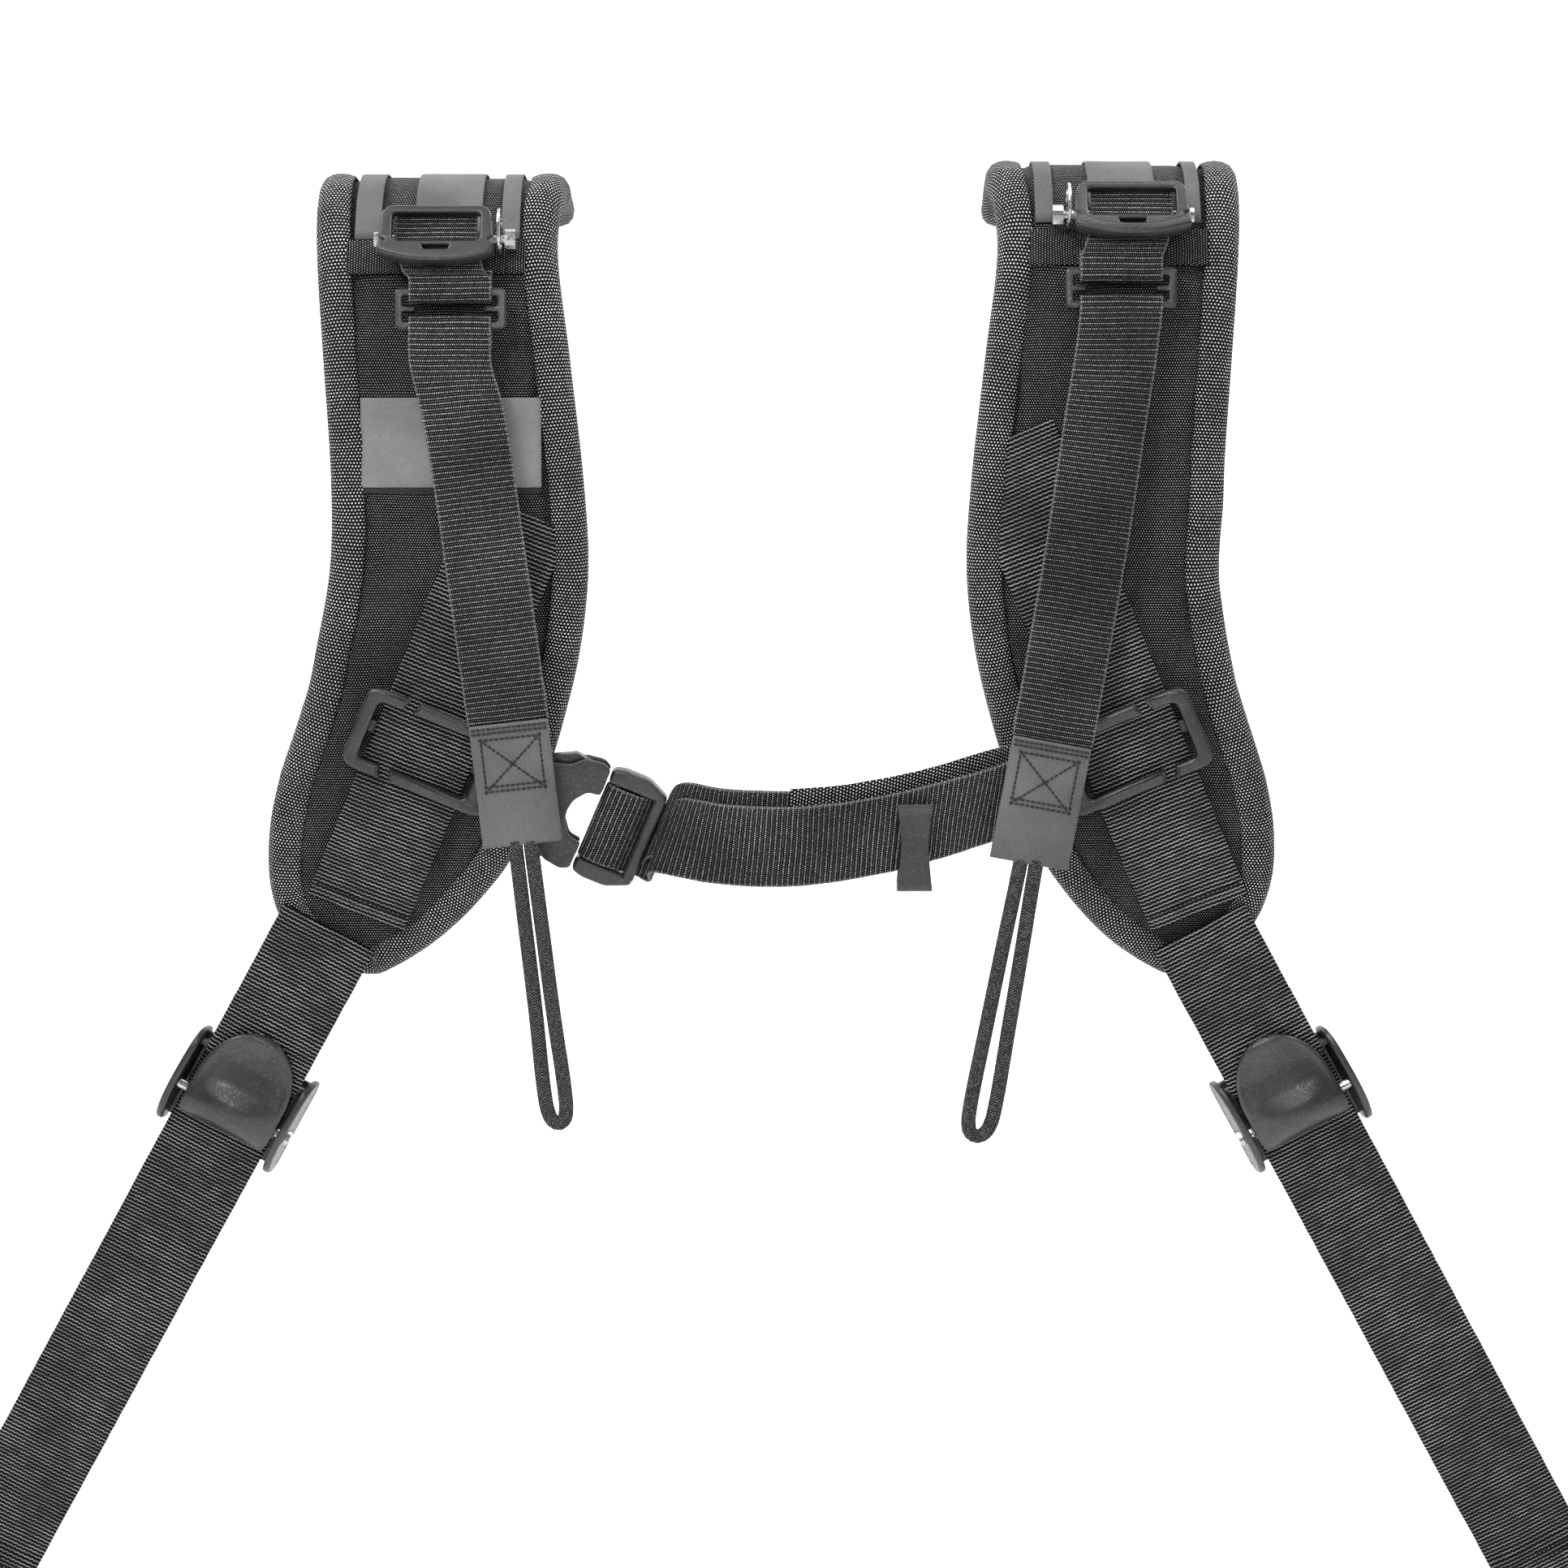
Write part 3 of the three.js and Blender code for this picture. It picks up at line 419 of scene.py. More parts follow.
# ---------------------------------------------------------------- materials
class Value:
    """A node's output socket that takes arithmetic: each step makes one math node."""

    def __init__(self, maker, socket):
        self.maker, self.socket = maker, socket

    def do(self, operation, other=0.0):
        return self.maker.math(operation, self, other)

    def __add__(self, other):
        return self.do("ADD", other)

    def __sub__(self, other):
        return self.do("SUBTRACT", other)

    def __rsub__(self, other):
        return self.maker.math("SUBTRACT", other, self)

    def __mul__(self, other):
        return self.do("MULTIPLY", other)

    def __truediv__(self, other):
        return self.do("DIVIDE", other)


class Maker:
    """Builds one node material, whose methods add nodes to it."""

    def __init__(self, name):
        self.material = bpy.data.materials.new(name)
        self.material.use_nodes = True
        self.tree = self.material.node_tree
        self.shader = self.tree.nodes["Principled BSDF"]

    def node(self, kind, **values):
        made = self.tree.nodes.new(kind)
        for key, value in values.items():
            setattr(made, key, value)
        return made

    def link(self, source, target):
        """Joins a socket or a Value to an input, or sets the input to a plain value."""
        source = getattr(source, "socket", source)
        if hasattr(source, "is_linked"):
            self.tree.links.new(source, target)
        else:
            target.default_value = source

    def fill(self, made, *values):
        """Gives a node its first inputs and returns its first output."""
        for value, target in zip(values, made.inputs):
            self.link(value, target)
        return Value(self, made.outputs[0])

    def math(self, operation, a, b):
        return self.fill(self.node("ShaderNodeMath", operation=operation), a, b)

    def ramp(self, value, low, high, to_low=0.0, to_high=1.0):
        made = self.node("ShaderNodeMapRange", interpolation_type="SMOOTHSTEP")
        return self.fill(made, value, low, high, to_low, to_high)

    def mix(self, share, a, b):
        made = self.node("ShaderNodeMix", data_type="RGBA")
        self.link(share, made.inputs["Factor"])
        for colour, name in ((a, 6), (b, 7)):
            self.link((*colour, 1), made.inputs[name])
        return made.outputs[2]

    def place(self):
        """The weave's own coordinates across and along it, in millimetres."""
        where = self.node("ShaderNodeAttribute", attribute_name="cloth").outputs["Vector"]
        parts = self.node("ShaderNodeSeparateXYZ")
        self.link(where, parts.inputs[0])
        return Value(self, parts.outputs[0]), Value(self, parts.outputs[1])

    def noise(self, scale, detail, roughness=0.5):
        made = self.node("ShaderNodeTexNoise")
        self.link(self.node("ShaderNodeTexCoord").outputs["Object"], made.inputs["Vector"])
        made.inputs["Scale"].default_value = scale
        made.inputs["Detail"].default_value = detail
        made.inputs["Roughness"].default_value = roughness
        return Value(self, made.outputs[0])

    def by_cell(self, u, v):
        """A steady random value for each cell of the weave."""
        cell = self.node("ShaderNodeCombineXYZ")
        self.fill(cell, u.do("FLOOR"), v.do("FLOOR"))
        spot = self.node("ShaderNodeTexWhiteNoise", noise_dimensions="2D")
        self.link(cell.outputs[0], spot.inputs["Vector"])
        return Value(self, spot.outputs["Value"])

    def bump(self, height, distance, strength, onto=None):
        made = self.node("ShaderNodeBump")
        made.inputs["Distance"].default_value = distance
        made.inputs["Strength"].default_value = strength
        self.link(height, made.inputs["Height"])
        if onto:
            self.link(onto, made.inputs["Normal"])
        return made.outputs[0]

    def finish(self, colour, roughness, normal=None, **sockets):
        self.link(colour, self.shader.inputs["Base Color"])
        self.link(roughness, self.shader.inputs["Roughness"])
        if normal:
            self.link(normal, self.shader.inputs["Normal"])
        for key, value in sockets.items():
            self.shader.inputs[key.replace("_", " ")].default_value = value
        return self.material


def bulge(value):
    """0 at each whole number and 1 half way between."""
    wave = value.do("FRACT") * 2 - 1
    return 1 - wave.do("ABSOLUTE").do("POWER", 2)


def every_other(value):
    """1 on every other whole step and 0 between."""
    return value.do("FLOOR").do("ABSOLUTE").do("MODULO", 2)


def cloth_finish(m, shown, height, depth, dark, light, roughness):
    colour = m.mix(shown, dark, light)
    rough = m.ramp(shown, 0, 1, roughness, roughness - 0.25)
    under = m.bump(m.noise(60, 2), 0.8 * MM, 0.4)
    normal = m.bump(height, depth * MM, 1.0, under)
    return m.finish(colour, rough, normal, Specular_IOR_Level=0.07)


def speckled(name, pitch, dark, light, depth, edge):
    """Ballistic cloth: bright staggered dashes where the threads rise out of a dark ground, partly the weave's
    pattern and partly painted shade in the grooves.
    """
    m = Maker(name)
    across, along = m.place()
    drift = (m.noise(45, 2) - 0.5) * 2.2
    u, v = ((x + drift) / step for x, step in zip((across, along), pitch))
    u = u + every_other(v) * 0.5
    # speck is both the bump's height and the colour mask, so the dark between the dashes is partly painted
    # shade in the grooves
    speck = bulge(u) * bulge(v)
    own = m.ramp(m.by_cell(u, v), 0.0, 1.0, 0.62, 1.0)
    worn = m.ramp(m.noise(55, 3), 0.3, 0.7, 0.7, 1.0)
    shown = m.ramp(speck, edge, 0.95) * own * worn
    return cloth_finish(m, shown, speck, depth, dark, light, 0.7)


def rowed(name, dark, light, row=1.6, dot=0.66, edge=12.5, depth=0.16):
    """Webbing with close rows of dots across it, every other row fainter as painted shade between the main
    rows, and a corded selvedge.
    """
    m = Maker(name)
    across, along = m.place()
    drift = (m.noise(60, 1) - 0.5) * 0.7
    v = (along + drift) / (row / 2)
    odd = every_other(v)
    u = across / dot + odd * 0.5
    speck = bulge(u) * bulge(v)
    own = m.ramp(m.by_cell(u, v), 0.0, 1.0, 0.5, 1.0)
    worn = m.ramp(m.noise(25, 3), 0.3, 0.7, 0.45, 1.0)
    # the odd rows dimmed by 0.72 are painted shade between the main rows; the dots follow the bump's relief, so
    # the dark between them is partly painted shade in the grooves
    shown = m.ramp(speck, 0.5, 0.95) * own * (1 - odd * 0.72) * worn
    rim = m.ramp(across.do("ABSOLUTE"), edge - 0.9, edge - 0.35)
    cord = rim * bulge(along / 1.1) * 0.25
    return cloth_finish(m, shown.do("MAXIMUM", cord), speck + bulge(v / 2), depth, dark, light, 0.62)


def ribbed(name, dark, light, rib=1.3, wave=1.7, depth=0.3):
    """Heavy webbing: dark ribs across it with a thin wavy bright line between each pair, a painted highlight.
    """
    m = Maker(name)
    across, along = m.place()
    drift = (m.noise(40, 2) - 0.5) * 1.6
    rows = (along + drift) / rib
    snake = (across * (2 * math.pi / wave)).do("SINE")
    # line: the thin wavy painted highlight between each pair of ribs, beaded along its length and varied at
    # random
    line = m.ramp(bulge(rows + snake * 0.07), 0.86, 0.99)
    beads = m.ramp(bulge(across / (wave / 2)), 0.1, 0.9, 0.55, 1.0)
    own = m.ramp(m.by_cell(across / (wave * 2), rows), 0.0, 1.0, 0.6, 1.0)
    worn = m.ramp(m.noise(60, 2), 0.3, 0.7, 0.6, 1.0)
    return cloth_finish(m, line * beads * own * worn, bulge(rows + 0.5), depth, dark, light, 0.6)


def twill(name, dark, light, pitch=0.5, roughness=0.75):
    """Smooth cloth with fine slanted lines and a faint cloud."""
    m = Maker(name)
    across, along = m.place()
    grain = m.ramp(m.noise(2200, 1), 0.3, 0.7, 0.0, 1.0)
    cloud = m.ramp(m.noise(45, 3), 0.3, 0.75, 0.0, 0.5)
    relief = bulge((across + along) / pitch) + grain
    shown = relief * 0.3 + cloud
    normal = m.bump(relief, 0.05 * MM, 0.8, m.bump(m.noise(70, 2), 0.6 * MM, 0.4))
    rough = m.ramp(shown, 0, 1, roughness + 0.08, roughness - 0.1)
    return m.finish(m.mix(shown, dark, light), rough, normal, Specular_IOR_Level=0.3)


def moulded(name, dark, light, roughness=0.35):
    """Black moulded plastic with a fine sparkling grain."""
    m = Maker(name)
    grain = m.noise(1500, 2, roughness=0.7)
    spark = m.ramp(grain, 0.55, 0.72)
    cloud = m.ramp(m.noise(60, 3), 0.3, 0.7, 0, 0.25)
    colour = m.mix(spark * 0.75 + cloud, dark, light)
    rough = m.ramp(grain, 0.3, 0.7, roughness + 0.14, roughness - 0.08)
    return m.finish(colour, rough, m.bump(grain, 0.08 * MM, 1.0), Specular_IOR_Level=0.5)


def metal(name, colour, roughness=0.22):
    m = Maker(name)
    lines = m.noise(1500, 2)
    tone = m.mix(m.ramp(m.noise(300, 2), 0.3, 0.7), [c * 0.8 for c in colour], colour)
    rough = m.ramp(lines, 0.3, 0.7, roughness - 0.06, roughness + 0.1)
    return m.finish(tone, rough, m.bump(lines, 0.02 * MM, 0.5), Metallic=1.0)


def braid(name, dark, light):
    """Flat braid: rows of V-shaped threads down the cord, coloured by the same relief as the bump, so the
    grooves between them are partly painted shade.
    """
    m = Maker(name)
    across, along = m.place()
    hump = bulge((along + across.do("ABSOLUTE") * 0.9) / 0.95)
    uneven = m.ramp(m.noise(1500, 1), 0.35, 0.7, 0.3, 1.0)
    return cloth_finish(m, m.ramp(hump, 0.4, 1.0) * uneven * 0.7, hump, 0.2, dark, light, 0.65)


BLACK = (0.0022, 0.0022, 0.0024)
MATERIALS = {
    "pad": speckled("pad_cover", (0.8, 0.8), BLACK, (0.3, 0.3, 0.305), 0.12, 0.68),
    "band": speckled("coarse_weave", (1.05, 1.0), BLACK, (0.62, 0.62, 0.63), 0.2, 0.6),
    "web": rowed("webbing", BLACK, (0.44, 0.44, 0.45)),
    # the strap's light colour shows only in the painted highlight lines between its ribs
    "strap": ribbed("strap_webbing", BLACK, (0.37, 0.37, 0.38)),
    "tape": twill("grey_twill", (0.045, 0.045, 0.047), (0.11, 0.11, 0.113)),
    "label": twill("label_twill", (0.09, 0.09, 0.093), (0.2, 0.2, 0.204)),
    "plastic": moulded("black_plastic", (0.002, 0.002, 0.0023), (0.06, 0.06, 0.062)),
    "steel": metal("bright_steel", (0.4, 0.4, 0.415)),
    "spring": metal("spring_steel", (0.3, 0.3, 0.31)),
    "cord": braid("braided_cord", BLACK, (0.17, 0.17, 0.175)),
    "thread": twill("thread", (0.004, 0.004, 0.004), (0.02, 0.02, 0.02), 0.3),
}


def dress(obj, look):
    obj.data.materials.clear()
    obj.data.materials.append(MATERIALS[look])
    return obj


def keep(node, look, bevel):
    """A CAD node that stays: its edges are rounded and it takes a material."""
    obj = NODES[node]
    obj.data.materials.clear()
    obj.data.materials.append(MATERIALS[look])
    if bevel:
        edge = obj.modifiers.new("edges", "BEVEL")
        edge.width, edge.segments = bevel * MM, 3
        edge.limit_method, edge.angle_limit = "ANGLE", math.radians(28)
    shade_smooth(obj.data)
    obj.modifiers.new("shading", "WEIGHTED_NORMAL")


# ---------------------------------------------------------------- camera
CAM_AT, CAM_LIFT = (2.0, -75, -171.2), math.radians(12)
CAM_FAR, CAM_WIDE, SENSOR = 1300, 486, 36
camera = bpy.data.objects.new("camera", bpy.data.cameras.new("camera"))
bpy.context.scene.collection.objects.link(camera)
camera.data.sensor_width = SENSOR
camera.data.lens = SENSOR * CAM_FAR / CAM_WIDE
camera.data.clip_start = 0.05
offset = vec(0, -math.cos(CAM_LIFT), math.sin(CAM_LIFT)) * CAM_FAR
camera.location = Vector((vec(*CAM_AT) + offset) * MM)
camera.rotation_euler = (math.pi / 2 - CAM_LIFT, 0, 0)
bpy.context.scene.camera = camera


# ---------------------------------------------------------------- pads
def pad_start(pad):
    """The pad's closed form a little thinner than it ends up, ready to swell."""
    end = pad.length
    s = np.concatenate([np.arange(0.8, end - 14, 3.0), np.arange(end - 13.5, end - 0.8, 1.3)])
    inner, outer = pad.edges(s)
    middle, w = (inner + outer) / 2, np.maximum((outer - inner) / 2 - 1.6, 1.0)
    quarter = [(1, 0, 0), (1, -0.9, 1.9), (1, -3, 3.2), (1, -9, 3.7), (1, -20, 4.0)]
    upper = quarter + [(-1, -e, h) for _, e, h in reversed(quarter[1:])] + [(-1, 0, 0)]
    lower = [(k, e, -h) for k, e, h in reversed(upper[1:-1])]
    points = []
    for k, e, h in upper + lower:
        inset = np.minimum(np.abs(e), w * 0.8)
        points.append(pad.at(s, middle + k * (w - inset), np.full(len(s), h)))
    return loft(pad.name + "_soft_pad", np.stack(points, 1))


def swell(obj, pressure, cap):
    """Puffs a closed form as cloth under pressure, and keeps the result in its mesh."""
    mod = obj.modifiers.new("remesh", "REMESH")
    mod.mode, mod.voxel_size = "VOXEL", 4.5 * MM
    apply_all(obj)
    start = positions(obj)
    cloth = obj.modifiers.new("cloth", "CLOTH")
    cloth.settings.use_pressure = True
    cloth.settings.uniform_pressure_force = pressure
    cloth.settings.effector_weights.gravity = 0
    cloth.settings.tension_stiffness = cloth.settings.compression_stiffness = 12
    cloth.settings.bending_stiffness = 0.4
    scene = bpy.context.scene
    for step in range(1, 21):
        scene.frame_set(step)
    apply_all(obj)
    scene.frame_set(1)
    moved = positions(obj) - start
    far = np.linalg.norm(moved, axis=1, keepdims=True)
    moved *= np.minimum(1, cap * MM / np.maximum(far, 1e-9))
    put(obj, start + moved)


def apply_all(obj):
    bpy.context.view_layer.update()
    done = bpy.data.meshes.new_from_object(obj.evaluated_get(bpy.context.evaluated_depsgraph_get()))
    obj.modifiers.clear()
    obj.data = done


def positions(obj):
    out = np.empty(len(obj.data.vertices) * 3, np.float32)
    obj.data.vertices.foreach_get("co", out)
    return out.reshape(-1, 3).astype(float)


def put(obj, points):
    obj.data.vertices.foreach_set("co", np.asarray(points, np.float32).ravel())
    obj.data.update()


def soft_pad(pad):
    obj = pad_start(pad)
    swell(obj, 4.0, 2.2)
    sub = obj.modifiers.new("fine", "SUBSURF")
    sub.levels = sub.render_levels = 1
    apply_all(obj)
    p = positions(obj) / MM
    s, x, h = pad.locate(p)
    inner, outer = pad.edges(np.clip(s, 0, pad.length))
    rim = np.minimum(x - inner, outer - x)
    seam = np.exp(-(((rim - BAND - 0.8) / 1.6) ** 2))
    crease = wobble(np.column_stack([x * 0.7, s, s * 0]), 16, pad.sign * 2.0) * 0.5
    crease += wobble(np.column_stack([x, s * 0.6, s * 0]), 7, pad.sign * 5.0) * 0.22
    front = np.clip(h / 3, -1, 1)
    middle = np.clip((rim - BAND) / 6, 0, 1)
    h = h - front * seam * 0.9 + front * middle * crease
    h = np.clip(h, -5.2, 4.75)
    put(obj, pad.at(s, x, h) * MM)
    layer = obj.data.attributes.new("cloth", "FLOAT_VECTOR", "POINT")
    layer.data.foreach_set("vector", np.column_stack([x, s, h]).ravel())
    shade_smooth(obj.data)
    fitting(obj, "pads", "pad", pad.name + "_pad")


# the binding's section: (distance in from the pad's edge, height off its middle surface)
BAND_RING = [
    (10.9, 4.5), (10.4, 5.25), (9, 5.75), (6.5, 6.05), (4, 5.75), (1.9, 4.7), (0.5, 2.7), (0, 0), (0.5, -2.7),
    (1.9, -4.4), (4, -5.2), (6.4, -5.3), (6.9, -4.7), (4.4, -4.2), (2.7, -3.4), (1.5, -2), (1.1, 0), (1.5, 2),
    (2.9, 3.6), (5, 4.6), (8, 4.7), (10, 4.2),
]


def binding(pad):
    """The wide binding round the pad's edge, from its seam on the front over the edge to the back."""
    end = pad.length
    s = np.concatenate([np.arange(0.9, end - 30, 3.0), np.arange(end - 29, end - 0.2, 1.6)])
    inner, outer = pad.edges(s)
    tip = [[126, end + 0.3]]
    rim = np.vstack([np.column_stack([outer + 0.3, s]), tip, np.column_stack([inner - 0.3, s])[::-1]])
    rim = resample(smooth_curve(rim, 4), 2.0)
    t = unit(np.gradient(rim, axis=0))
    inward = np.column_stack([-t[:, 1], t[:, 0]])
    run = run_of(rim)
    puff = wobble(np.column_stack([run, run * 0, run * 0]), 9, pad.sign * 3.0)
    points, cloth = [], []
    around = 0.0
    for i, (e, h) in enumerate(BAND_RING):
        if i:
            last = BAND_RING[i - 1]
            around += math.hypot(e - last[0], h - last[1])
        pull = 1 + 0.03 * puff if e > 9 else 1
        q = rim + inward * (e * pull if np.ndim(pull) == 0 else (e * pull)[:, None])
        lift = 0.18 * puff if h > 4 else 0
        over = np.clip(q[:, 1] - end, 0, None)
        _, tangent, _ = pad.frame(np.full(len(over), end))
        laid = pad.at(np.clip(q[:, 1], 0, end), q[:, 0], h + lift + 0 * run)
        points.append(laid + tangent * over[:, None])
        cloth.append(np.column_stack([np.full(len(run), around), run, np.full(len(run), h)]))
    obj = loft(pad.name + "_edge_band", np.stack(points, 1), np.stack(cloth, 1))
    fitting(obj, "pads", "band", pad.name + "_pad_binding")


def side_tape(pad, label, x, width, stop):
    """A tape laid down the pad's face, from its rear end to the cross band."""
    s = np.arange(5, stop, 2.5)
    left, right = (pad.at(s, x + off, TAPE_HEIGHT + 0 * s) for off in (-width / 2, width / 2))
    tape = slab(f"{pad.name}_{label}_tape", left, right, pad.frame(s)[2], 0.8, ripple=0.08, seed=x)
    fitting(tape, "pads", "tape", f"{pad.name}_side_tape_{label}")


def across_pad(pad, name, node, look, x0, x1, z0, z1, h, thick):
    """A patch laid across the pad between two heights, then bent to its curved face."""
    s0, s1 = pad.s_at(z0), pad.s_at(z1)
    x = np.arange(x0, x1 + 1, 2.5)
    bow = 0.25 * np.sin((x - x0) / (x1 - x0) * math.pi)
    top = pad.at(np.full(len(x), s0), x, h + bow)
    low = pad.at(np.full(len(x), s1), x, h + bow)
    obj = slab(name, top, low, pad.frame(np.full(len(x), (s0 + s1) / 2))[2], thick, ripple=0.1, seed=x0)
    s, across, height = pad.locate(positions(obj) / MM)
    put(obj, pad.at(s, across, np.clip(height, h - 0.6, h + 0.9)) * MM)
    fitting(obj, "pads", look, node)


def anchor_edges(pad, run):
    """The slanted webbing's edge lines: its inner one stops where the binding begins."""
    sin, cos = math.sin(TILT), math.cos(TILT)
    s0 = pad.s_at(SLIDER_Z)
    run = np.asarray(run, float)
    h = np.interp(-run, [-62, -46, -34, 34, 48, 110], [STRAP_HEIGHT, STRAP_HEIGHT, 9.1, 9.1, 6.3, 5.9])
    edge = lambda w: (SLIDER_X + run * sin + w * cos, s0 + run * cos - w * sin)
    inner = np.full(len(run), -16.0)
    for i in range(len(run)):
        while inner[i] < 14 and run[i] < 0:
            x = SLIDER_X + run[i] * sin + inner[i] * cos
            s = s0 + run[i] * cos - inner[i] * sin
            if x > float(pad.edges(np.array(s))[0]) + BAND - 1.2:
                break
            inner[i] += 0.25
    return edge, inner, h


def anchor_webbing(pad):
    run = np.arange(58, pad.side["webbing_top"] - 2, -2.0)
    edge, inner, h = anchor_edges(pad, run)
    x0, s0 = edge(inner)
    x1, s1 = edge(np.full(len(run), 16.0))
    tuck = np.clip((x0 - pad.edges(s0)[0] - BAND) / 4, 0, 1)
    h0 = h - (1 - tuck) * 1.0 * (run < -40)
    left, right, normal = pad.at(s0, x0, h0), pad.at(s1, x1, h), pad.frame((s0 + s1) / 2)[2]
    web = slab(pad.name + "_slant_webbing", left, right, normal, 1.2, seed=pad.sign * 7)
    fitting(web, "pads", "strap", pad.name + "_anchor_webbing")
    lines = []
    for at in (55.5, 53.5):
        w = np.linspace(-14.5, 14.5, 30)
        sin, cos = math.sin(TILT), math.cos(TILT)
        x = SLIDER_X + at * sin + w * cos
        s = pad.s_at(SLIDER_Z) + at * cos - w * sin
        lines.append((pad.at(s, x, STRAP_HEIGHT + 0.65 + 0 * s), pad.frame(s)[2]))
    fitting(stitches(pad.name + "_slant_stitches", lines, 1.5, 1.3, 0.28), "pads", "thread")


# ---------------------------------------------------------------- lifter hardware
def ladder_lock(pad, place):
    """The lifter's lock: a windowed plate, a thick curved lip below it and two ears for the pin."""
    half = 17.5
    bottom = [(x, 12.4 - 3.4 * (abs(x) / half) ** 2.2) for x in np.linspace(half, -half, 15)]
    left = [(-half, 4), (-half + 0.6, -5.5), (-half + 3, -8)]
    outline = list(fillet(left + [(-x, y) for x, y in left[::-1]], 2)) + bottom
    window = rounded(-13.3, -5.4, 13.3, 4.4, 1.6)
    slot = fillet([(-4.2, 6.0), (4.2, 6.0), (3.4, 7.5), (-3.4, 7.5)], 0.5)
    rise = [(x, 8.7 - 4.2 * (abs(x) / half) ** 2.4) for x in np.linspace(-half, half, 15)]
    body, node = pad.name + "_lock", pad.name + "_ladder_lock"
    fitting(plate(pad.name + "_lock_plate", [outline, window, slot], 0, 2.8, place, 0.8), body, node=node)
    fitting(plate(pad.name + "_lock_lip", [rise + bottom], 0.2, 4.9, place, 1.0), body)
    ear_r = 3.1
    ear = [(ear_r * math.cos(a), -LOCK_TO_PIN - ear_r * math.sin(a)) for a in np.linspace(0, math.pi, 12)]
    ear += [(-ear_r, 0.4), (ear_r, 0.4)]
    for ear_x, label in ((-15.6, "inner"), (15.6, "outer")):
        stand = lambda y, z, x, ear_x=ear_x: place(ear_x + x, y, z)
        fitting(plate(f"{pad.name}_lock_ear_{label}", [ear], -1.5, 1.5, stand, 0.5), body)


def split_bar_slider(pad, place):
    """A rounded frame with a pair of short prongs that reach into its window from the sides."""
    frame_line = rounded(-17, -6.25, 17, 6.25, 2.2)
    window = fillet(
        [
            (-14.2, -3.85), (14.2, -3.85), (14.2, -0.9), (10.5, -0.9), (10.5, 0.9), (14.2, 0.9), (14.2, 3.85),
            (-14.2, 3.85), (-14.2, 0.9), (-10.5, 0.9), (-10.5, -0.9), (-14.2, -0.9),
        ],
        0.5,
    )
    body = pad.name + "_lock"
    bars = plate(pad.name + "_slider_bars", [frame_line, window], -1.3, 1.3, place, 0.75)
    fitting(bars, body, node=pad.name + "_split_bar_slider")


def facing(path):
    """Normals of a path that keeps to a plane across X."""
    step = np.gradient(np.asarray(path), axis=0)
    return unit(np.column_stack([0 * step[:, 0], step[:, 2], -step[:, 1]]))


def arc(start, stop, count):
    """Evenly spaced angles, given in degrees and returned in radians."""
    return [math.radians(a) for a in np.linspace(start, stop, count)]


def lifter(pad):
    """The lifter: its lock on the sewn tab, the webbing through both, the free tail and what hangs on it."""
    side, name = pad.side, pad.name
    s_pin = pad.s_at(side["pin_z"])
    _, t, n = pad.frame(np.array(s_pin))
    out = vec(pad.sign, 0, 0)
    pin = pad.at(np.array(s_pin), side["lock_x"], PIN_HEIGHT)
    down = t * math.cos(LOCK_LEAN) + n * math.sin(LOCK_LEAN)
    face = n * math.cos(LOCK_LEAN) - t * math.sin(LOCK_LEAN)
    lock_at = pin + face * LOCK_TO_PIN

    ladder_lock(pad, lambda x, y, z: lock_at + out * x + down * y + face * z)

    pin_radius, gap, half_tape = 1.5, 0.5, 0.4
    loop_r = pin_radius + gap + half_tape
    in_pad = lambda s, h: pad.at(np.array(float(s)), side["tab_x"], h)
    round_pin = lambda a: in_pad(s_pin + loop_r * math.cos(a), PIN_HEIGHT + loop_r * math.sin(a))
    wrap = [round_pin(a) for a in arc(100, -118, 10)]
    flat = [in_pad(s, 5.5) for s in np.linspace(6, s_pin - 9, 10)]
    path = np.array(flat + [in_pad(s_pin - 5.5, 7.4)] + wrap)
    tab = ribbon(name + "_grey_loop", path, facing(path), 20.5, 0.8, 1.2, ripple=0.06)
    fitting(tab, "pads", "tape", name + "_centre_tab")

    s_glide = pad.s_at(side["glide_z"])
    _, gt, gn = pad.frame(np.array(s_glide))
    glide_at = pad.at(np.array(s_glide), side["glide_x"], 12)
    split_bar_slider(pad, lambda x, y, z: glide_at + out * x + gt * y + gn * z)
    on_glide = lambda v, h: glide_at + gt * v + gn * h
    turn_r = 2.65
    half_turn = [(turn_r * math.cos(a), turn_r * math.sin(a)) for a in arc(90, -90, 7)]
    turn = lambda v0, way: [on_glide(v0 + way * v, h) for v, h in half_turn]
    mid = lock_at - face * 2 + down * 13
    mid[0] = pad.sign * (side["lock_x"] * 0.4 + side["glide_x"] * 0.6)
    upper = [lock_at - face * 0.9 - down * 8.4, lock_at - face * 1.1 + down * 3, mid]
    lower = [on_glide(v, -turn_r) for v in (-9, -12)]
    path = np.array(upper + [on_glide(-9, turn_r + 0.6)] + turn(-5.05, 1) + lower)
    web = ribbon(name + "_lifter_loop", path, facing(path), 25, 1.2, 0.8, (400, 500), ripple=0.1, seed=pad.sign)
    fitting(web, name + "_lock", "web", name + "_lifter_webbing")

    top = on_glide(5.05, turn_r)
    hang = lambda x, z: vec(pad.sign * x, top[1] - 0.5 - 15 / 160 * (top[2] - z), z)
    end = side["tail"][-1]
    start = [on_glide(v, -turn_r) for v in (12, 9)]
    path = np.array(start + turn(5.05, -1)[::-1] + [hang(x, z) for x, z in side["tail"]])
    tail = ribbon(
        name + "_tail_webbing", path, -facing(path), 25, 1.2, 1.2, (28, 62), ripple=0.16, seed=pad.sign * 4
    )
    fitting(tail, name + "_tail", "web", name + "_lifter_tail")

    tab_top, tab_low = hang(end[0] - 0.05, end[1] - 0.2), hang(*side["tab_end"])
    pull_tab(pad, tab_top, tab_low)
    pull_loop(pad, tab_low)


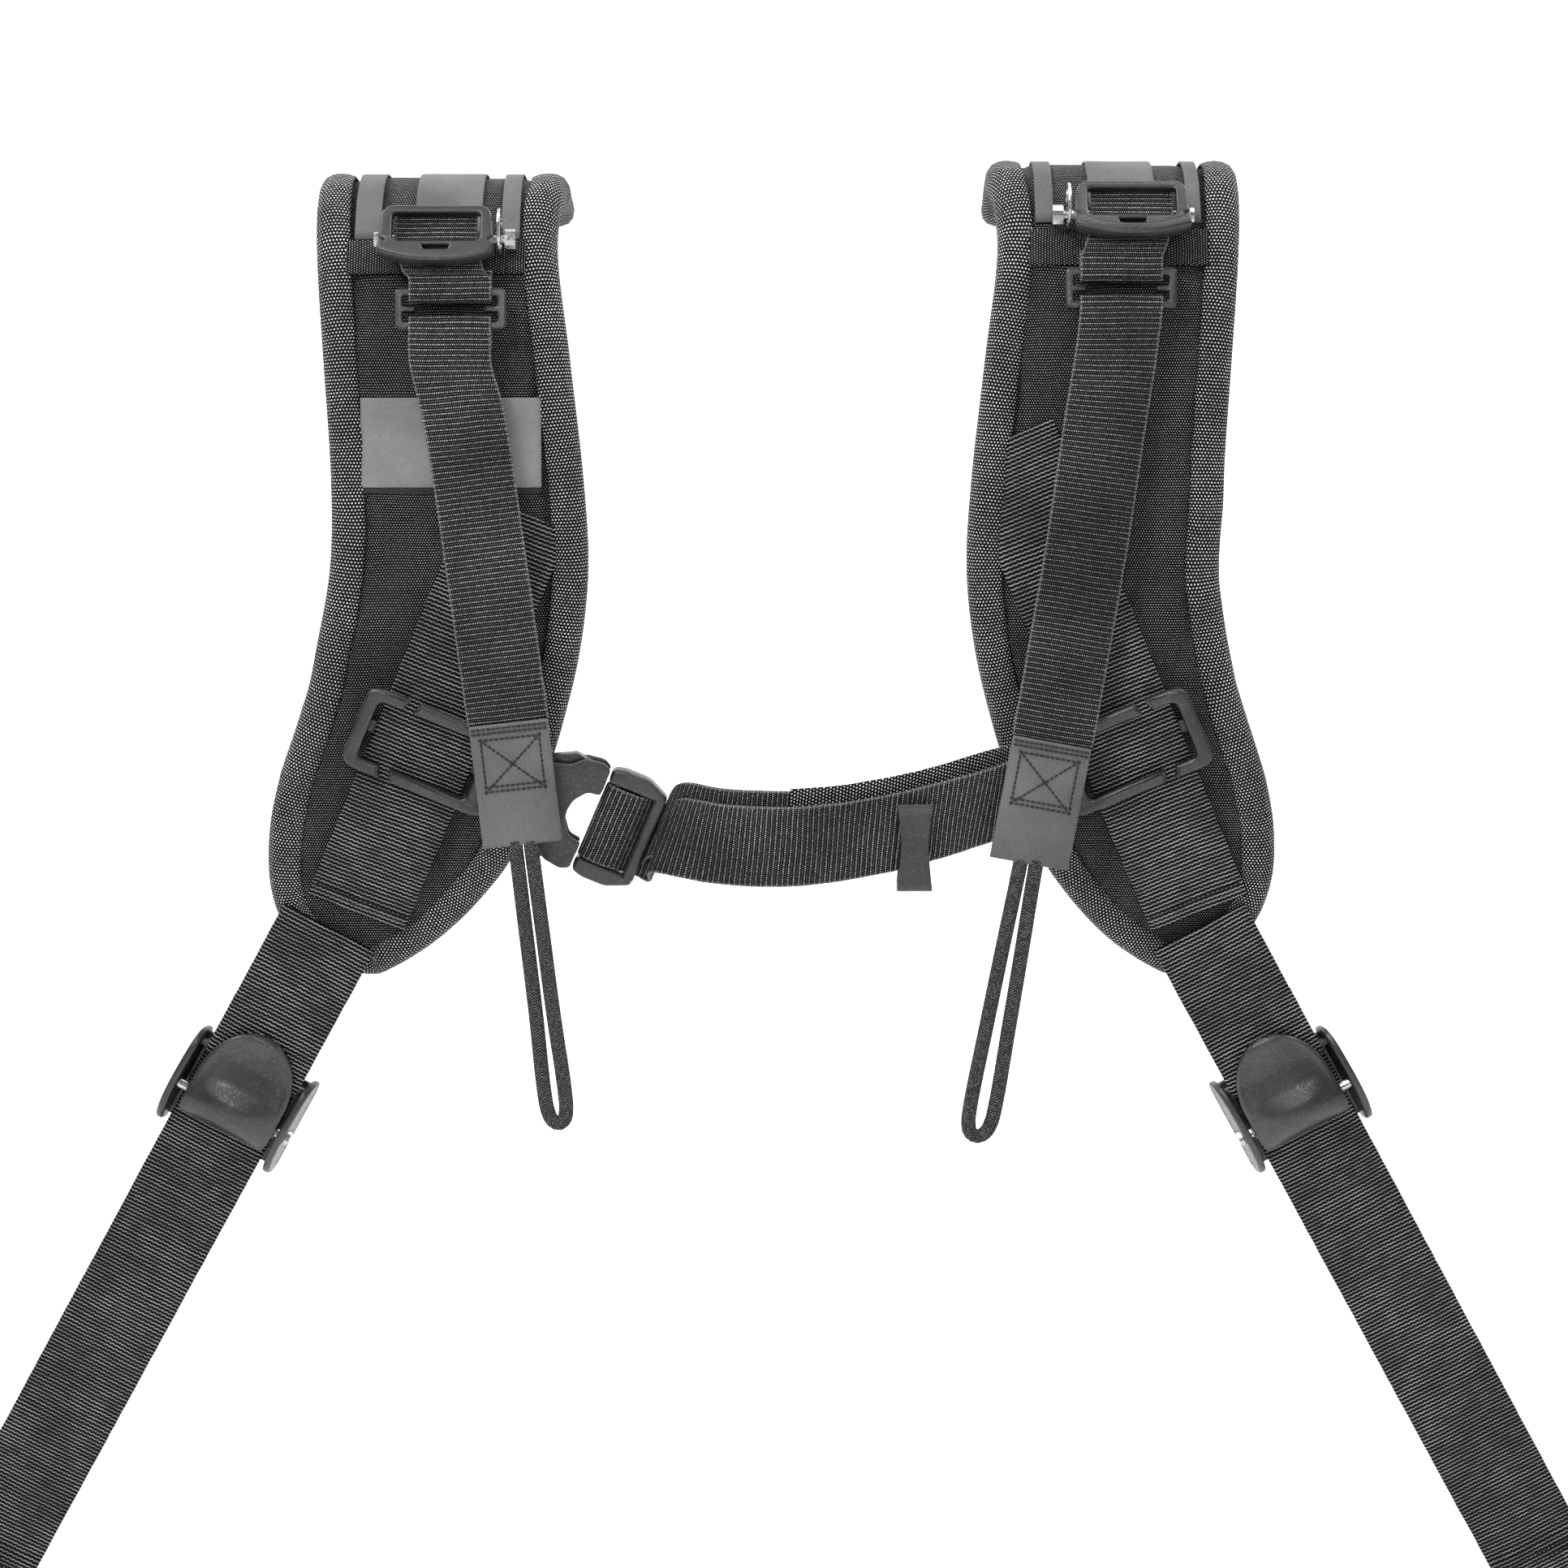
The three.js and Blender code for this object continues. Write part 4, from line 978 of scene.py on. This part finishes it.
def pull_tab(pad, top, low):
    """The sewn tab at the tail's end, boxed and crossed with stitches on both faces."""
    name = pad.name
    points = [top + (low - top) * k for k in np.linspace(0, 1, 6)]
    thick = [2.1, 2.7, 2.7, 2.6, 2.2, 1.9]
    tab = ribbon(name + "_grey_tab", points, vec(0, -1, 0), 24.5, thick, 1.2, ripple=0.12, seed=pad.sign * 9)
    fitting(tab, name + "_tail", "tape", name + "_pull_tab")
    t = unit(low - top)
    across = unit(np.cross(t, vec(0, -1, 0)))
    normal = unit(np.cross(across, t))
    spot = lambda a, v, k: top + t * v + across * a + normal * k
    lines = []
    for k in (1.4, -1.4):
        shape = [
            [(-11, 1.2), (11, 1.2)], [(-11, 2.6), (11, 2.6)], [(-9, 4.6), (9, 4.6)],
            [(-9, 4.6), (-9, 20.5)], [(9, 4.6), (9, 20.5)], [(-9, 20.5), (9, 20.5)],
            [(-9, 19), (9, 19)], [(-9, 4.6), (9, 20.5)], [(9, 4.6), (-9, 20.5)],
        ]
        for a, b in shape:
            ends = np.array([spot(*a, k), spot(*b, k)])
            lines.append((ends, np.array([normal * np.sign(k)] * 2)))
    fitting(stitches(name + "_tab_stitches", lines, 1.6, 1.45, 0.36), name + "_tail", "thread")


def pull_loop(pad, tab_low):
    """The flat braided cord that hangs from the tab in a long loop."""
    side, name = pad.side, pad.name
    top = tab_low + vec(0, 0, 1.0)
    x, z = side["loop_end"]
    low = vec(pad.sign * x, top[1], z)
    strand = lambda share, off: top + (low - top) * share + vec(pad.sign * off, 0, 0)
    spread = side["strand"]
    half = list(zip((0, 0.12, 0.3, 0.6, 0.88), spread))
    half += [(0.95, spread[-1] * 0.9), (0.985, spread[-1] * 0.6)]
    points = [strand(a, -b) for a, b in half] + [strand(1.0, 0)] + [strand(a, b) for a, b in half[::-1]]
    line = resample(smooth_curve(points, 12), 1.2)
    t = unit(np.gradient(line, axis=0))
    front = vec(0, -1, 0)
    flat = unit(np.cross(t, front))
    run = run_of(line)
    rings, cloth = [], []
    for a in np.linspace(0, 2 * math.pi, 12, endpoint=False):
        wide, deep = 2.3 * math.cos(a), 1.2 * math.sin(a)
        rings.append(line + flat * wide + front * deep)
        cloth.append(np.column_stack([np.full(len(run), wide), run, 0 * run]))
    obj = loft(name + "_braid_loop", np.stack(rings, 1), np.stack(cloth, 1))
    fitting(obj, name + "_tail", "cord", name + "_pull_loop")
    tuple(line[0] * MM)
    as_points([tuple(p * MM) for p in line[::3]] + [tuple(line[-1] * MM)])


# ---------------------------------------------------------------- lower straps and cam buckles
def cam_side(pad):
    """The lower strap's two ends, its own axes, and the middle of the cam buckle on it."""
    start = pad.at(np.array(pad.s_at(STRAP_TOP_Z)), pad.side["strap_x"][0], STRAP_HEIGHT)
    end = vec(pad.sign * pad.side["strap_x"][1], *STRAP_END)
    down = unit(end - start)
    across = unit(np.cross(down, vec(0, -pad.sign, 0)))
    face = np.cross(down, across)
    if face[1] > 0:
        face = -face
    centre = start + down * BUCKLE_RUN - face * 6
    return start, end, down, across, face, centre


def lower_strap(pad):
    name = pad.name
    start, end, down, across, face, centre = cam_side(pad)
    local = lambda l, h: centre + down * l + face * h
    turn = [local(-13.5 + 2.2 * math.cos(a), 3.8 + 2.2 * math.sin(a)) for a in arc(90, -90, 7)]
    above = [local(l, 6) for l in (-BUCKLE_RUN + 0.8, -52, -40, -26)]
    path = np.array(above + turn + [local(-20, 1.6), local(-34, 1.6)])
    step = np.gradient(path, axis=0)
    turned = unit(np.cross(across, step))
    turned *= np.sign(turned[0] @ face)
    upper = ribbon(name + "_upper_webbing", path, turned, STRAP_WEB, 1.2, 1.2, ripple=0.14, seed=pad.sign * 11)
    fitting(upper, "pads", "strap", name + "_upper_strap")
    far = float(np.linalg.norm(end - start)) - BUCKLE_RUN
    stops = [-33, 0, 40, 90, far - 25, far - 23, far - 12, far]
    thick = [1.2, 1.2, 1.2, 1.2, 1.2, 3.5, 3.5, 3.3]
    path = [local(l, 0) for l in stops]
    strap = ribbon(name + "_lower_webbing", path, face, STRAP_WEB, thick, 1.6, ripple=0.15, seed=pad.sign * 13)
    fitting(strap, name + "_strap", "strap", name + "_lower_strap")
    lines = []
    for l in (far - 20, far - 17.5):
        ends = np.array([local(l, 1.8) - across * 14, local(l, 1.8) + across * 14])
        lines.append((ends, np.array([face, face])))
    fitting(stitches(name + "_hem_stitches", lines, 1.6, 1.3, 0.3), name + "_strap", "thread")
    lever(pad, across, down, face, centre)
    cam_frame(pad, across, down, face, centre)
    keep(name + "_cam_pin", "steel", 0.3)
    keep(name + "_cam_spring", "spring", 0)


def cam_frame(pad, across, down, face, centre):
    """The cam's frame: two D-shaped cheeks that lean to the outer side, a base plate and a top bar."""
    lean, foot_h = math.tan(math.radians(13)), 2.7
    rim = [(17, -1.6), (16.2, 3.2), (10.5, 7.6), (3, 9.2), (-6, 8.6), (-14, 6.6), (-17, 3.2), (-17.2, -1.5)]
    cheek = [tuple(p) for p in smooth_curve(rim, 5)] + [(-16, -foot_h), (15.6, -foot_h)]
    for foot, label in ((16.4, "outer"), (-21.6, "inner")):
        place = lambda l, h, w, x=foot: centre - across * (x + w + (h + foot_h) * lean) + down * l + face * h
        obj = plate(f"{pad.name}_cam_cheek_{label}", [cheek], 0, 2.4, place, 0.8)
        fitting(obj, "pads", node=pad.name + "_cam_frame" if label == "outer" else None)
    flat = lambda w, l, h: centre + across * w + down * l + face * h
    base = rounded(-17.5, -15.5, 21.5, 15, 1)
    fitting(plate(pad.name + "_cam_base", [base], -foot_h, -1.2, flat, 0.4), "pads")
    fitting(bar(pad.name + "_cam_top_bar", flat(-19.2, -13.5, 3.8), flat(19.6, -13.5, 3.8), 1.3), "pads")
    fitting(bar(pad.name + "_rivet", flat(19.4, 2, 5), flat(20.9, 2, 5.2), 2.5, ends=0.6), "pads", "spring")


def lever(pad, across, down, face, centre):
    """The thumb pad of the cam: a rim round a dished top, a swelling over the pin, and its hub below."""
    l = np.concatenate([np.linspace(-26, -24.6, 5), np.linspace(-24, 6.4, 42), np.linspace(6.9, 8.6, 5)])
    stations = [-26, -25.2, -24, -20, -14, -7, -1.5, 2.5, 5.5, 7.4, 8.6]
    ridge = np.interp(l, stations, [7.9, 9.2, 9.9, 8.9, 8.6, 10.2, 13.2, 13.5, 12.2, 10.6, 8.6])
    ridge = np.convolve(np.pad(ridge, 2, "edge"), [0.1, 0.2, 0.4, 0.2, 0.1], "valid")
    flank = np.interp(l, [-26, -24, -14, -5, 3, 8.6], [7.9, 9.0, 8.8, 8.8, 8.9, 8.2])
    wide = np.where(l < -5, 15.4 * np.sqrt(np.clip(1 - ((-5 - l) / 21.1) ** 2, 0.003, 1)), 15.4)
    wide = wide * np.interp(l, [5.5, 8.6], [1, 0.955])
    over = np.sin(np.linspace(-math.pi / 2, math.pi / 2, 27))
    ring = [centre + across * (-wide)[:, None] + down * l[:, None] + face * 7.7]
    for a in over:
        crown = (1 - abs(a) ** 2.3) * (ridge - flank)
        rim = 0.7 * math.exp(-(((abs(a) - 0.93) / 0.05) ** 2)) * np.clip(-l / 6, 0, 1)
        h = np.maximum(flank + crown + rim, 7.9)
        ring.append(centre + across * (a * wide * 0.995)[:, None] + down * l[:, None] + face * h[:, None])
    ring.append(centre + across * wide[:, None] + down * l[:, None] + face * 7.7)
    for a in (0.8, 0.3, -0.3, -0.8):
        ring.append(centre + across * (a * wide)[:, None] + down * l[:, None] + face * 7.6)
    dome = loft(pad.name + "_thumb_lever", np.stack(ring, 1))
    fitting(dome, pad.name + "_lever", node=pad.name + "_cam_lever")
    rings = []
    for w in (-13.1, -12.7, -6, 0, 6, 12.7, 13.1):
        r = 3.6 if abs(w) < 13 else 3.2
        angles = np.linspace(0, 2 * math.pi, 28, endpoint=False)
        tooth = np.where((np.arange(28) % 2 == 0) & (angles > 3.6) & (angles < 5.6), 0.35, 0.0)
        lift = np.where(np.sin(angles) > 0.5, 1.6, 0)
        rings.append(
            centre + across * w + down * (2 + (r + tooth) * np.cos(angles))[:, None]
            + face * (5 + (r + tooth) * np.sin(angles) + lift)[:, None]
        )
    fitting(loft(pad.name + "_lever_hub", np.array(rings)), pad.name + "_lever")


# ---------------------------------------------------------------- sternum strap
def slider_place(pad):
    """A map from a sternum slider's own (inward, down, out of the pad) to the frame, and its normal."""
    s = np.array(pad.s_at(SLIDER_Z))
    _, t, n = pad.frame(s)
    flat = lambda x, k: vec(pad.sign * x, 0, 0) + t * k
    at = pad.at(s, SLIDER_X, 0)
    inward, down = flat(-math.cos(TILT), math.sin(TILT)), flat(math.sin(TILT), math.cos(TILT))
    return lambda x, y, h: at + inward * x + down * y + n * h, n


def sternum(pads):
    """The doubled webbing between the sliders, with its tongue, keeper and elastic."""
    on_left, left_n = slider_place(pads[0])
    on_right, right_n = slider_place(pads[1])

    def rows(keys, back, rise):
        bow = [BOW[k] for k in keys]
        left = [vec(x0, y + back, z0 + rise) for x0, z0, _, _, y in bow]
        right = [vec(x1, y + back, z1 + rise) for _, _, x1, z1, y in bow]
        return left, right, [vec(0, -1, 0)] * len(bow)

    def end(place, x, h, n):
        return [place(x, -12.5, h)], [place(x, 12.5, h)], [n]

    def build(name, *parts, **more):
        left, right, normal = (sum((list(p[k]) for p in parts), []) for k in range(3))
        both = smooth_curve(np.hstack([left, right, np.array(normal) * 9]), 14)
        mid = (both[:, :3] + both[:, 3:6]) / 2
        m, a, b, f = resample(mid, 1.5, both[:, :3], both[:, 3:6], both[:, 6:])
        t = unit(np.gradient(m, axis=0))
        across = unit(b - a)
        n = unit(np.cross(across, t))
        n *= np.sign(n[-1] @ f[-1])
        return slab(name, a, b, n, 1.2, **more)

    # the front layer wraps the tongue's bar and runs to the keeper
    route = [
        (70.5, 6.9), (63, 7.2), (59, 7.6), (57.4, 8.3), (56.7, 9.9), (57.4, 11.5), (59, 12.2), (63.5, 12.7),
        (67.5, 12.1), (70.6, 10.0), (73.2, 9.0), (76.5, 9.4), (80, 10.5),
    ]
    wrap = [end(on_left, x, h, left_n) for x, h in route]
    front = build("sternum_front_layer", *wrap, rows(range(0, 5), 0, 0), ripple=0.16, seed=2)
    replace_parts(dress(front, "web"), "sternum_webbing_front")
    from_tongue, to_strap = on_left(78, 0, 10), vec(8, -97, -186)
    tuple(from_tongue * MM)
    tuple(to_strap * MM)
    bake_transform(front)
    stop = end(on_right, 25.2, 11.8, right_n)
    last = build("sternum_front_end", rows(range(4, 7), 0, 0), stop, ripple=0.14, seed=5, start=1000)
    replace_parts(dress(last, "web"), "sternum_webbing_front_end")
    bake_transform(last)
    begin = end(on_left, 76.4, 6.2, left_n)
    rear = build("sternum_rear_layer", begin, rows(range(0, 3), 4, 4), ripple=0.14, seed=8)
    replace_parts(dress(rear, "web"), "sternum_webbing_rear")
    from_tongue, to_strap = on_left(78, 0, 8), vec(0, -93, -182)
    tuple(from_tongue * MM)
    tuple(to_strap * MM)
    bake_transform(rear)
    stop = end(on_right, 24.8, 8.4, right_n)
    elastic = build("sternum_elastic_layer", rows(range(2, 7), 4, 4.6), stop, ripple=0.3, seed=12)
    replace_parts(dress(elastic, "band"), "sternum_elastic")
    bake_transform(elastic)
    for pad, place in zip(pads, (on_left, on_right)):
        sternum_slider(pad.name, place)
    buckle(on_left)
    keeper()


def keeper():
    """The bent clip that holds the doubled webbing, narrowest a little above its middle."""
    hook = np.array(KEEPER_HOOK)
    outline = []
    for a, b in zip(hook, np.roll(hook, -1, axis=0)):
        share = min(1, 1.5 / np.linalg.norm(b - a))
        outline += [a + (b - a) * k for k in np.arange(0, 1, share)]
    waist = lambda z: np.interp(-z, [173, 178, 185, 192, 201], [1.12, 0.96, 0.83, 0.92, 1.1])
    place = lambda y, z, x: vec(KEEPER_AT[0] + x * waist(z), KEEPER_AT[1] + y, z)
    fitting(plate("keeper_hook", [outline], -5, 5, place, 0.3), "keeper", node="keeper_clip")


def sternum_slider(name, place):
    """The plate that the anchor webbing threads: a hooked outer part, an inner frame and a bar behind."""
    s, body = 13.5, name + "_slider"
    t = s - 4
    outer = [(-22.5, -s), (-9, -s), (-10.5, -t), (-18, -t), (-18, t), (-10.5, t), (-9, s), (-22.5, s)]
    inner = [(-6, -s), (24, -s), (24, s), (-6, s), (-7.2, t), (17.8, t), (17.8, -t), (-7.2, -t)]
    outer = fillet(outer, [5, 0.4, 0.4, 2.2, 2.2, 0.4, 0.4, 5])
    inner = fillet(inner, [0.4, 4, 4, 0.4, 0.4, 2, 2, 0.4])
    hook = plate(name + "_slider_hook", [outer], 10.2, 13.4, place, 1.1)
    fitting(hook, body, node=name + "_sternum_slider")
    fitting(plate(name + "_slider_frame", [inner], 10.2, 13.4, place, 1.1), body)
    for x in (-20, 20):
        post = rounded(x - 2, -6, x + 2, 6, 0.8)
        label = "outer" if x < 0 else "inner"
        fitting(plate(f"{name}_slider_post_{label}", [post], 6.7, 10.8, place, 0.5), body)
    cross = rounded(-22, -2, 22, 2, 0.5)
    fitting(plate(name + "_slider_cross_bar", [cross], 6.7, 8.1, place, 0.4), body)


def buckle(place):
    """The side-release buckle: a socket on the left slider, and a framed tongue that holds the webbing."""
    half = [
        (22, 12), (38, 12.3), (43.5, 14.2), (47, 17.4), (53, 18.3), (55.6, 16.8), (55.6, 8.2), (51.6, 7.6),
        (48.6, 3.6),
    ]
    outline = half + [(48, 0)] + [(x, -y) for x, y in reversed(half)]
    outline = fillet(outline, [1] * 4 + [1.6, 0.8, 0.8] + [1.2] * 5 + [0.8, 0.8, 1.6] + [1] * 4)
    for low, high, label in ((6.7, 8.2, "back"), (11.9, 13.6, "front")):
        fitting(plate("left_socket_" + label, [outline], low, high, place, 0.65), "left_slider")
    block = rounded(21, -11.5, 29, 11.5, 1)
    fitting(plate("left_socket_block", [block], 6.8, 13.4, place, 0.8), "left_slider")
    side = [(56.3, 12.8), (56.3, 17.4), (60, 18.5), (68, 18.5), (75.2, 15.2), (75.2, 12.8)]
    for k, label, node in ((-1, "upper", "buckle_tongue"), (1, "lower", None)):
        keep("buckle_arm_" + label, "plastic", 0.5)
        outline = fillet([(x, y * k) for x, y in side], 1.6)
        fitting(plate("tongue_side_" + label, [outline], 7.2, 12.9, place, 1.2), "tongue", node=node)
    front = rounded(71.6, -14, 75.4, 14, 1)
    fitting(plate("tongue_front_bar", [front], 10.8, 13.4, place, 1.1), "tongue")
    fitting(bar("tongue_webbing_bar", place(59, -14, 9.9), place(59, 14, 9.9), 1.5), "tongue")


# ---------------------------------------------------------------- build everything
pads = [Shoulder(side) for side in SIDES]
for pad in pads:
    n = pad.name
    soft_pad(pad)
    binding(pad)
    band_top, band_low = pad.side["band_z"]
    stop = pad.s_at(band_top)
    near, far = pad.side["outer_tape"]
    side_tape(pad, "outer", (near + far) / 2, far - near, stop)
    side_tape(pad, "inner", 81.5, 5.6, stop)
    across_pad(pad, n + "_cross_strip", n + "_cross_band", "pad", 76.5, 131.5, band_top, band_low, 5.3, 0.9)
    anchor_webbing(pad)
    lifter(pad)
    lower_strap(pad)
    keep(n + "_clevis_pin", "steel", 0.25)
    keep(n + "_split_ring", "steel", 0)
across_pad(pads[0], "left_blank_label", "left_label_patch", "label", 72, 127.5, -52, -79, 5.15, 0.6)
# a thin near-black strip just below the label's lower edge: painted shadow of the label on the pad
across_pad(pads[0], "left_label_shadow_strip", None, "thread", 72, 127.5, -79.2, -80.6, 5.0, 0.6)
sternum(pads)


# ---------------------------------------------------------------- floor, backdrop and light
def pale(name, colour):
    """Paper with a faint cloud in it."""
    m = Maker(name)
    return m.finish(m.mix(m.ramp(m.noise(3, 2), 0.3, 0.7), [c * 0.98 for c in colour], colour), 0.9)


def studio():
    """A paper sweep that bends up behind the harness, its lamps and an even sky."""
    floor_z, bend_y, bend_r, far = -470, 900, 600, 9000
    turn = np.linspace(0, math.pi / 2, 14)
    bend_up = [(bend_y + bend_r * math.sin(a), floor_z + bend_r - bend_r * math.cos(a)) for a in turn]
    back = [(-far, floor_z)] + bend_up + [(bend_y + bend_r, 3500)]
    vertices = [(x, y, z) for y, z in back for x in (-far, far)]
    faces = [(2 * i, 2 * i + 1, 2 * i + 3, 2 * i + 2) for i in range(len(back) - 1)]
    sweep = new_object("studio_floor", vertices, faces)
    sweep.data.materials.append(pale("studio_paper", (0.93, 0.93, 0.93)))
    # name, size in metres, watts, place and aim in metres
    lights = (
        ("key", 0.6, 27, (-0.75, -1.2, 1.25), (0, -0.05, -0.15)),
        ("fill", 1.2, 2.5, (1.4, -1.5, 0.3), (0, -0.05, -0.15)),
        ("top", 0.5, 5, (0.25, -0.2, 1.3), (0, -0.05, -0.1)),
        ("back_left", 1.5, 60, (-1.6, 0.3, 1.9), (0, 1.6, -0.1)),
        ("back_right", 1.5, 60, (1.6, 0.3, 1.9), (0, 1.6, -0.1)),
        ("front", 0.25, 5.5, (0, -1.35, 0.35), (0, -0.06, -0.2)),
    )
    for name, size, energy, place, aim in lights:
        data = bpy.data.lights.new(name, "AREA")
        data.size, data.energy = size, energy
        lamp = bpy.data.objects.new(name, data)
        lamp.location = place
        lamp.rotation_euler = (Vector(aim) - Vector(place)).to_track_quat("-Z", "Y").to_euler()
        bpy.context.scene.collection.objects.link(lamp)
    world = bpy.data.worlds.new("studio")
    bpy.context.scene.world = world
    world.use_nodes = True
    world.node_tree.nodes["Background"].inputs[0].default_value = (1, 1, 1, 1)
    world.node_tree.nodes["Background"].inputs[1].default_value = 0.28
    bpy.context.scene.view_settings.view_transform = "Standard"


studio()
